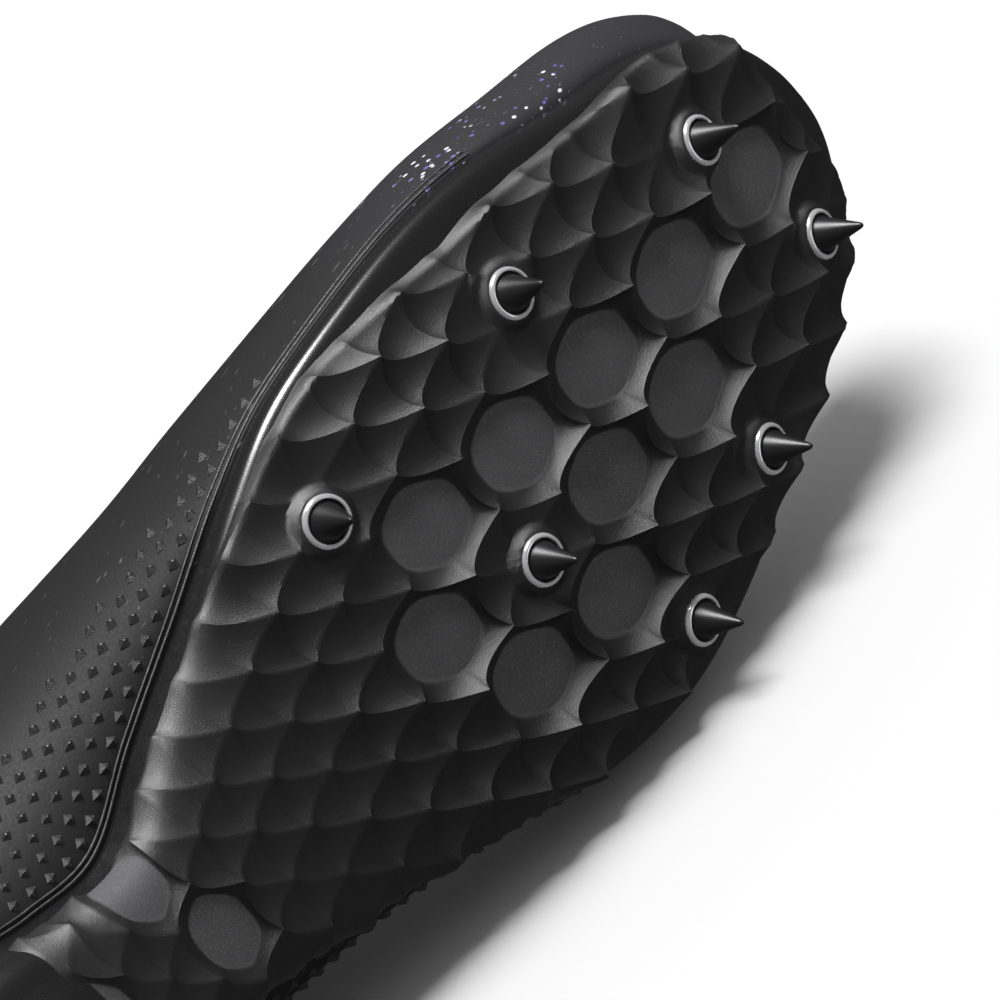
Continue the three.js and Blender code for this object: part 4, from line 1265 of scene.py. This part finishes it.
@dataclass
class Upper:
    """The upper with its eyestay, bindings, seams and nubs."""

    sections: int = 150
    low_steps: int = 10
    high_steps: int = 30
    bottom_steps: int = 12
    margin: float = 4.0
    eyelet_pairs: int = 6
    first_eyelet: float = 0.665
    last_eyelet: float = 0.415
    eyelet_radius: float = 2.0
    nub_width: float = 1.9
    nub_height: float = 0.95
    nub_pitch: float = 3.9
    nub_rows: int = 7
    row_pitch: float = 3.3
    first_rise: float = 3.6
    nubs_back: float = 64.0
    nub_slant: float = 4.2
    stitch_length: float = 1.8
    stitch_pitch: float = 2.8
    tape_width: float = 3.0
    tape_lip: float = 1.0
    collar_stitches: float = 4.0
    seam_ends: tuple[float, float] = (58, 226)
    seam_rows: tuple[tuple[float, float], ...] = ((0.8, 0.5), (1.8, 0.4))

    def form(self, name: str, growth: float) -> bpy.types.Object:
        """Closed form of the last, grown or shrunk all round."""
        return Bench.loft(name, FORM.rings(self.sections, self.low_steps, self.high_steps, self.bottom_steps, growth))

    def shell(self, name: str, outer: float, inner: float) -> bpy.types.Object:
        """Hollow solid between two growths of the last."""
        out = self.form(name, outer)
        hollow = self.form(f"{name}_inside", inner)
        Bench.edit_all(hollow)
        bpy.ops.mesh.flip_normals()
        bpy.ops.object.mode_set(mode="OBJECT")
        return Bench.join([out, hollow])

    @staticmethod
    def throat_half(x: np.ndarray) -> np.ndarray:
        """Half the throat's width, narrowing to the front."""
        forward = (np.asarray(x) / LENGTH - THROAT_BACK) / (THROAT_FRONT - THROAT_BACK)
        return (THROAT_WIDTH / 2) * (1.1 - 0.38 * forward)

    def along_throat(self, back: float, front: float, reach: float) -> np.ndarray:
        """Plan outline that follows the throat at a distance, round at its front."""
        radius = float(self.throat_half(front)) + reach
        x = np.linspace(back, front - radius, 25)
        ridge, half = FORM.ridge_at(x), self.throat_half(x) + reach
        left = np.column_stack([x, ridge - half])
        right = np.column_stack([x, ridge + half])[::-1]
        centre = front - radius
        angle = np.linspace(-np.pi / 2, np.pi / 2, 25)[1:-1]
        arc = np.column_stack([centre + radius * np.cos(angle),
                               float(FORM.ridge_at(np.array([centre]))[0]) + radius * np.sin(angle)])
        return np.vstack([left, arc, right])

    @staticmethod
    def collar_line(count: int) -> np.ndarray:
        """The collar's line seen from the side, as (x, z)."""
        knots = np.array([(x * LENGTH, float(FORM.footbed(max(0.0, x * LENGTH))) + up * HEEL_HEIGHT)
                          for x, up in COLLAR])
        padded = np.vstack([knots[:1], knots, knots[-1:]])
        made = []
        for place in np.linspace(0, len(knots) - 1, count):
            k = min(int(place), len(knots) - 2)
            t = place - k
            a, b, c, d = padded[k:k + 4]
            made.append(0.5 * (2 * b + (c - a) * t + (2 * a - 5 * b + 4 * c - d) * t * t
                               + (3 * b - a - 3 * c + d) * t**3))
        return np.array(made)

    def collar_cutter(self, name: str) -> bpy.types.Object:
        """What lies above the collar's line."""
        line = self.collar_line(43)
        outline = np.vstack([line, [(line[-1, 0], SKY), (-LENGTH, SKY), (-LENGTH, line[0, 1])]])
        return Bench.prism(name, outline, -BALL_WIDTH, BALL_WIDTH, upright=False)

    def sole_cutter(self, level: float) -> bpy.types.Object:
        """Opening under the foot, between the lasting margins."""
        s = FORM.section(np.linspace(0.5, LAST_ROW - 0.5, 80))
        fits = ((s["med_sole"] - s["lat_sole"] > 2.5 * self.margin) & (s["x"] > self.margin)
                & (s["x"] < LENGTH - self.margin))
        lateral = np.column_stack([s["x"], s["lat_sole"] + self.margin])[fits]
        medial = np.column_stack([s["x"], s["med_sole"] - self.margin])[fits][::-1]
        return Bench.prism("sole_cutter", np.vstack([lateral, medial]), -LENGTH, level)

    def eyelets(self) -> list[tuple[np.ndarray, np.ndarray]]:
        """Places of the eyelets in plan, lateral and medial, one pair after another from the front."""
        share = np.linspace(self.first_eyelet, self.last_eyelet, self.eyelet_pairs)
        pairs = []
        for x in share * LENGTH:
            reach = float(self.throat_half(x)) + EYESTAY_WIDTH * 0.42
            ridge = float(FORM.ridge_at(np.array([x]))[0])
            pairs.append((np.array([x, ridge - reach]), np.array([x, ridge + reach])))
        return pairs

    def punch(self, obj: bpy.types.Object) -> None:
        """Cuts the eyelets."""
        cutters = []
        for pair in self.eyelets():
            for x, y in pair:
                top = float(FORM.instep_height(x, y, 0)[0])
                Bench.clear()
                bpy.ops.mesh.primitive_cylinder_add(vertices=20, radius=self.eyelet_radius, depth=40,
                                                    location=(x, y, top))
                bpy.ops.object.transform_apply(location=True, rotation=True, scale=True)
                cutters.append(Bench.named("eyelet_cutter"))
        Bench.cut(obj, Bench.join(cutters))

    def open_up(self, obj: bpy.types.Object, throat: np.ndarray, level: float) -> None:
        """Opens a shell at the collar and the throat."""
        Bench.cut(obj, self.collar_cutter("collar_cutter"))
        Bench.cut(obj, Bench.prism("throat_cutter", throat, level, SKY))

    def build(self) -> None:
        """Builds and lays down the upper's pieces."""
        back, front = THROAT_BACK * LENGTH, THROAT_FRONT * LENGTH
        level = float(FORM.footbed(LENGTH * BALL)) + 0.2 * INSTEP_HEIGHT
        throat = self.along_throat(back - EYESTAY_WIDTH, front - EYESTAY_WIDTH * 0.2, 0)
        body = self.shell("upper_body", 0.0, -UPPER_WALL)
        self.open_up(body, throat, level)
        Bench.cut(body, self.sole_cutter(level))
        self.punch(body)
        eyestay = self.shell("eyestay", EYESTAY_STEP, -0.4)
        area = Bench.prism("eyestay_area", self.along_throat(back, front, EYESTAY_WIDTH), level, SKY)
        Bench.cut(eyestay, area, "INTERSECT")
        self.open_up(eyestay, throat, level)
        self.punch(eyestay)
        lining = self.shell("lining", -UPPER_WALL + 0.1, -UPPER_WALL - 0.2)
        self.open_up(lining, throat, level)
        Bench.cut(lining, self.sole_cutter(level))
        self.punch(lining)
        Bench.lay(body, UPPER_FINISH, "upper", ["upper"], 40)
        Bench.lay(eyestay, UPPER_FINISH, "upper", (), 35)
        Bench.lay(lining, LINING_FINISH, "upper", (), 40)
        path, out = self.collar_path(0.0)
        tape = Bench.tube("collar_binding", path - out * UPPER_WALL / 2, out, self.tape_width,
                          UPPER_WALL + self.tape_lip, 12)
        Bench.lay(tape, BINDING_FINISH, "upper", (), 60)
        self.nubs()
        self.welt()
        self.stitches()
        self.eyelet_rims()

    def collar_path(self, drop: float) -> tuple[np.ndarray, np.ndarray]:
        """Points round the collar on the upper's outside, from the lateral throat round the heel.

        Args:
            drop: how far below the collar's edge.

        Returns:
            Points and the directions out of the upper there.
        """
        line = self.collar_line(120)
        line = line[(line[:, 0] > 1) & (line[:, 0] < 0.393 * LENGTH)]
        path, out = [], []
        rise = np.linspace(0, 110, 221)
        for side, order in ((Side.LATERAL, slice(None, None, -1)), (Side.MEDIAL, slice(None))):
            points, ways = [], []
            for x, z in line:
                around, way = FORM.up_side(np.full(len(rise), x), rise, side)
                k = int(np.argmin(np.abs(around[:, 2] - z + drop)))
                points.append(around[k])
                ways.append(way[k])
            path.append(np.array(points)[order])
            out.append(np.array(ways)[order])
        return np.vstack(path), np.vstack(out)

    @staticmethod
    def on_top(x: np.ndarray, y: np.ndarray, growth: float) -> tuple[np.ndarray, np.ndarray]:
        """Points over places in plan and the directions out of the upper there."""
        step = SLOPE_STEP
        slope_x = FORM.instep_height(x + step, y, growth) - FORM.instep_height(x - step, y, growth)
        slope_y = FORM.instep_height(x, y + step, growth) - FORM.instep_height(x, y - step, growth)
        points = np.column_stack([x, y, FORM.instep_height(x, y, growth)])
        return points, np.column_stack([-slope_x, -slope_y, np.full(len(points), 2 * step)])

    def nubs(self) -> None:
        """Small pyramids in staggered rows on both sides of the waist."""
        Bench.clear()
        bpy.ops.mesh.primitive_cone_add(vertices=4, radius1=self.nub_width / math.sqrt(2), radius2=0.2,
                                        depth=self.nub_height)
        nub = Bench.named("nub")
        Bench.move_points(nub, Bench.points(nub) + np.array([0, 0, self.nub_height / 2 - 0.2]))
        places, out = [], []
        for side, front in ((Side.LATERAL, 172.0), (Side.MEDIAL, 165.0)):
            for row in range(self.nub_rows):
                rise = self.first_rise + row * self.row_pitch
                back = self.nubs_back + (row % 2) * self.nub_pitch / 2
                x = np.arange(back, front - self.nub_slant * (rise - self.first_rise), self.nub_pitch)
                points, ways = FORM.up_side(x, np.full(len(x), rise), side)
                places.append(points)
                out.append(ways)
        places, out = np.vstack(places), np.vstack(out)
        piece = Bench.scatter("side_nubs", nub, places, out, np.tile([1.0, 0.0, 0.0], (len(places), 1)))
        Bench.lay(piece, RUBBER_FINISH, "upper", (), 20)

    def welt(self) -> None:
        """Doubled raised seam along the plate's edge, on both sides."""
        cords = []
        for side in Side:
            for rise, wide in self.seam_rows:
                x = np.linspace(*self.seam_ends, 240)
                points, ways = FORM.up_side(x, np.full(len(x), rise), side)
                cords.append(Bench.tube(f"seam_{side.name}_{rise}", points, ways, wide, 0.5, 8))
        seam = Bench.join(cords)
        seam.name = "sole_seam"
        Bench.lay(seam, RUBBER_FINISH, "upper", (), 60)

    def stitches(self) -> None:
        """Rows of stitches along the eyestay and under the collar's tape."""
        places, out, along = [], [], []

        def row(path: np.ndarray, ways: np.ndarray) -> None:
            """Adds a row of stitches along a path."""
            run = np.concatenate([[0], np.cumsum(np.linalg.norm(np.diff(path, axis=0), axis=1))])
            at = np.arange(self.stitch_pitch, run[-1] - self.stitch_pitch, self.stitch_pitch)
            for rows, made in ((path, places), (ways, out), (np.gradient(path, axis=0), along)):
                made.append(np.column_stack([np.interp(at, run, rows[:, k]) for k in range(3)]))

        for reach in (1.8, EYESTAY_WIDTH - 3.0, EYESTAY_WIDTH - 1.6):
            edge = self.along_throat(0.40 * LENGTH, THROAT_FRONT * LENGTH - EYESTAY_WIDTH + reach, reach)
            edge = np.column_stack([np.interp(np.linspace(0, len(edge) - 1, 400), np.arange(len(edge)), edge[:, k])
                                    for k in (0, 1)])
            row(*self.on_top(edge[:, 0], edge[:, 1], EYESTAY_STEP))
        row(*self.collar_path(self.collar_stitches))
        Bench.clear()
        bpy.ops.mesh.primitive_uv_sphere_add(segments=8, ring_count=4, radius=1)
        stitch = Bench.named("stitch")
        Bench.move_points(stitch, Bench.points(stitch) * np.array([self.stitch_length / 2, 0.3, 0.22]))
        piece = Bench.scatter("stitches", stitch, np.vstack(places), np.vstack(out), np.vstack(along))
        Bench.lay(piece, THREAD_FINISH, "upper", (), 60)

    def eyelet_rims(self) -> None:
        """Low rolled rims round the eyelets."""
        Bench.clear()
        bpy.ops.mesh.primitive_torus_add(major_segments=28, minor_segments=8, major_radius=self.eyelet_radius + 0.25,
                                         minor_radius=0.35)
        rim = Bench.named("rim")
        holes = np.array([hole for pair in self.eyelets() for hole in pair])
        places, out = self.on_top(holes[:, 0], holes[:, 1], EYESTAY_STEP - 0.12)
        piece = Bench.scatter("eyelet_rims", rim, places, out, np.tile([1.0, 0.0, 0.0], (len(places), 1)))
        Bench.lay(piece, RUBBER_FINISH, "upper", (), 60)


@dataclass
class Inside:
    """Tongue and insole."""

    tongue_thickness: float = 2.6
    overlap: float = 11.0
    insole_thickness: float = 3.0
    tongue_level: float = 0.33
    tongue_front: float = 0.745

    def build(self, upper: Upper) -> None:
        """Builds and lays down the tongue and the insole.

        Args:
            upper: the upper, whose last they are grown from.
        """
        skin = -UPPER_WALL - TONGUE_CLEARANCE
        low = float(FORM.footbed(LENGTH * BALL)) + self.tongue_level * INSTEP_HEIGHT
        tongue = upper.form("tongue_pad", skin)
        area = upper.along_throat(THROAT_BACK * LENGTH, self.tongue_front * LENGTH, self.overlap)
        Bench.cut(tongue, Bench.prism("tongue_area", area, low, SKY), "INTERSECT")
        Bench.cut(tongue, upper.form("tongue_inside", skin - self.tongue_thickness))
        Bench.lay(tongue, TONGUE_FINISH, "tongue", ["tongue"], 50)
        lift = 2 * CLEARANCE + UPPER_WALL + self.insole_thickness
        x = np.linspace(-0.05 * LENGTH, 1.05 * LENGTH, 60)
        line = np.column_stack([x, FORM.footbed(np.clip(x, 0, LENGTH)) + lift])
        outline = np.vstack([line, [(x[-1], SKY), (x[0], SKY)]])
        insole = upper.form("insole_pad", -UPPER_WALL - CLEARANCE)
        Bench.cut(insole, Bench.prism("insole_cutter", outline, -BALL_WIDTH, BALL_WIDTH, upright=False))
        Bench.lay(insole, INSOLE_FINISH, "insole", ["insole"], 50)


@dataclass
class Laces:
    """Flat laces crossed between the eyelets."""

    width: float = 5.0
    thickness: float = 1.3
    dip: float = 3.2
    dip_share: float = 0.07
    crossing: float = 1.25

    def run(self, name: str, start: np.ndarray, end: np.ndarray, over: float) -> bpy.types.Object:
        """One run of lace from an eyelet to another, its ends turned down into the holes.

        Args:
            name: name of the run.
            start: first eyelet in plan.
            end: second eyelet.
            over: how far above the eyestay its middle passes.

        Returns:
            The new object.
        """
        t = np.linspace(0, 1, 25)
        xy = start[None, :] * (1 - t)[:, None] + end[None, :] * t[:, None]
        level = EYESTAY_STEP + LACE_CLEARANCE + self.thickness / 2 + over * np.sin(np.pi * t) ** 2
        z = np.array([float(FORM.instep_height(x, y, g)[0]) for (x, y), g in zip(xy, level)])
        dip = self.dip * np.clip(1 - np.minimum(t, 1 - t) / self.dip_share, 0, 1) ** 1.5
        path = np.column_stack([xy, z - dip])
        near = np.array([float(FORM.instep_height(x, y + 0.5, 0)[0] - FORM.instep_height(x, y - 0.5, 0)[0])
                         for x, y in xy])
        out = np.column_stack([np.zeros(len(t)), -near, np.ones(len(t))])
        return Bench.tube(name, path, out, self.width, self.thickness, 14)

    def build(self, upper: Upper) -> None:
        """Builds and lays down the laces.

        Args:
            upper: the upper, for its eyelets.
        """
        pairs = upper.eyelets()
        runs = [self.run("lace_bar", pairs[0][0], pairs[0][1], 0.0)]
        for k in range(len(pairs) - 1):
            runs.append(self.run(f"lace_a{k}", pairs[k][0], pairs[k + 1][1], 0.0))
            runs.append(self.run(f"lace_b{k}", pairs[k][1], pairs[k + 1][0], self.crossing))
        laces = Bench.join(runs)
        laces.name = "flat_laces"
        Bench.lay(laces, LACE_FINISH, "laces", ["laces"], 60)


@dataclass
class Studio:
    """Floor, lights and camera."""

    target: tuple[float, float, float] = (180.0, -2.0, 0.0)
    right: tuple[float, float, float] = (0.4963, 0.6139, -0.6138)
    up: tuple[float, float, float] = (0.7425, -0.6666, -0.0664)
    distance: float = 1000.0
    view_width: float = 158.7
    sensor: float = 36.0
    sky: float = 0.8
    mirrored_sky: float = 0.06
    key_power: float = 7.5
    key_width: float = 30.0

    def turn(self, way: Sequence[float]) -> Vector:
        """Direction of the upright shoe in the row frame."""
        return (LAY_DOWN.to_3x3() @ Vector(way)).normalized()

    def camera(self) -> None:
        """Camera at the photograph's angle."""
        x = self.turn(self.right)
        y = self.turn(self.up)
        y = (y - x * y.dot(x)).normalized()
        z = x.cross(y)
        data = bpy.data.cameras.new("camera")
        data.sensor_width = self.sensor
        data.lens = self.sensor * self.distance / self.view_width
        data.clip_start, data.clip_end = 0.01, 20
        camera = bpy.data.objects.new("camera", data)
        bpy.context.scene.collection.objects.link(camera)
        pose = Matrix((x, y, z)).transposed().to_4x4()
        pose.translation = LAY_DOWN @ Vector(self.target) + z * self.distance * MM
        camera.matrix_world = pose
        bpy.context.scene.camera = camera
        LOG.info("camera at %s, looking along %s", tuple(round(v, 3) for v in pose.translation),
                 tuple(round(-v, 3) for v in z))

    def lamp(self, name: str, kind: str, way: Sequence[float], power: float, far: float = 0.0,
             **shape: object) -> None:
        """Soft lamp aimed at the shoe.

        Args:
            name: name of the light.
            kind: AREA or SUN.
            way: direction from the shoe to the light, as (right, up, towards the viewer) in the picture.
            power: watts, or watts for each square metre of a sun.
            far: distance in metres.
            shape: the light's own settings, such as its size.
        """
        out = (bpy.context.scene.camera.matrix_world.to_3x3() @ Vector(way)).normalized()
        data = bpy.data.lights.new(name, kind)
        data.energy = power
        for key, value in shape.items():
            setattr(data, key, value)
        lamp = bpy.data.objects.new(name, data)
        bpy.context.scene.collection.objects.link(lamp)
        lamp.location = LAY_DOWN @ Vector(self.target) + out * far
        lamp.rotation_euler = out.to_track_quat("Z", "Y").to_euler()

    def build(self) -> None:
        """Makes the floor, the lights and the camera."""
        Bench.clear()
        bpy.ops.mesh.primitive_plane_add(size=30, location=(0, 0, 0))
        floor = Bench.named("studio_floor")
        floor.data.materials.append(FLOOR_FINISH.material())
        floor.visible_glossy = False
        self.camera()
        self.lamp("key_sun", "SUN", (-0.4, 0.8, 0.45), self.key_power, angle=math.radians(self.key_width))
        self.lamp("side", "AREA", (0.9, 0.1, 0.5), 1.0, 1.2, shape="RECTANGLE", size=0.3, size_y=0.9)
        world = bpy.data.worlds.new("studio")
        world.use_nodes = True
        background = world.node_tree.nodes["Background"]
        background.inputs["Color"].default_value = (1.0, 1.0, 1.0, 1.0)
        rays = world.node_tree.nodes.new("ShaderNodeLightPath")
        level = world.node_tree.nodes.new("ShaderNodeMapRange")
        level.inputs["To Min"].default_value = self.sky
        level.inputs["To Max"].default_value = self.mirrored_sky
        world.node_tree.links.new(rays.outputs["Is Glossy Ray"], level.inputs["Value"])
        world.node_tree.links.new(level.outputs["Result"], background.inputs["Strength"])
        bpy.context.scene.world = world
        bpy.context.scene.view_settings.view_transform = "Standard"


def main() -> None:
    """Builds the shoe's pieces in order, then the studio."""
    logging.basicConfig(level=logging.INFO, format="%(message)s")
    LOG.info("outsole")
    Outsole().build()
    LOG.info("studs")
    Studs().build()
    LOG.info("upper")
    upper = Upper()
    upper.build()
    Inside().build(upper)
    Laces().build(upper)
    Studio().build()


if __name__ == "__main__":
    main()
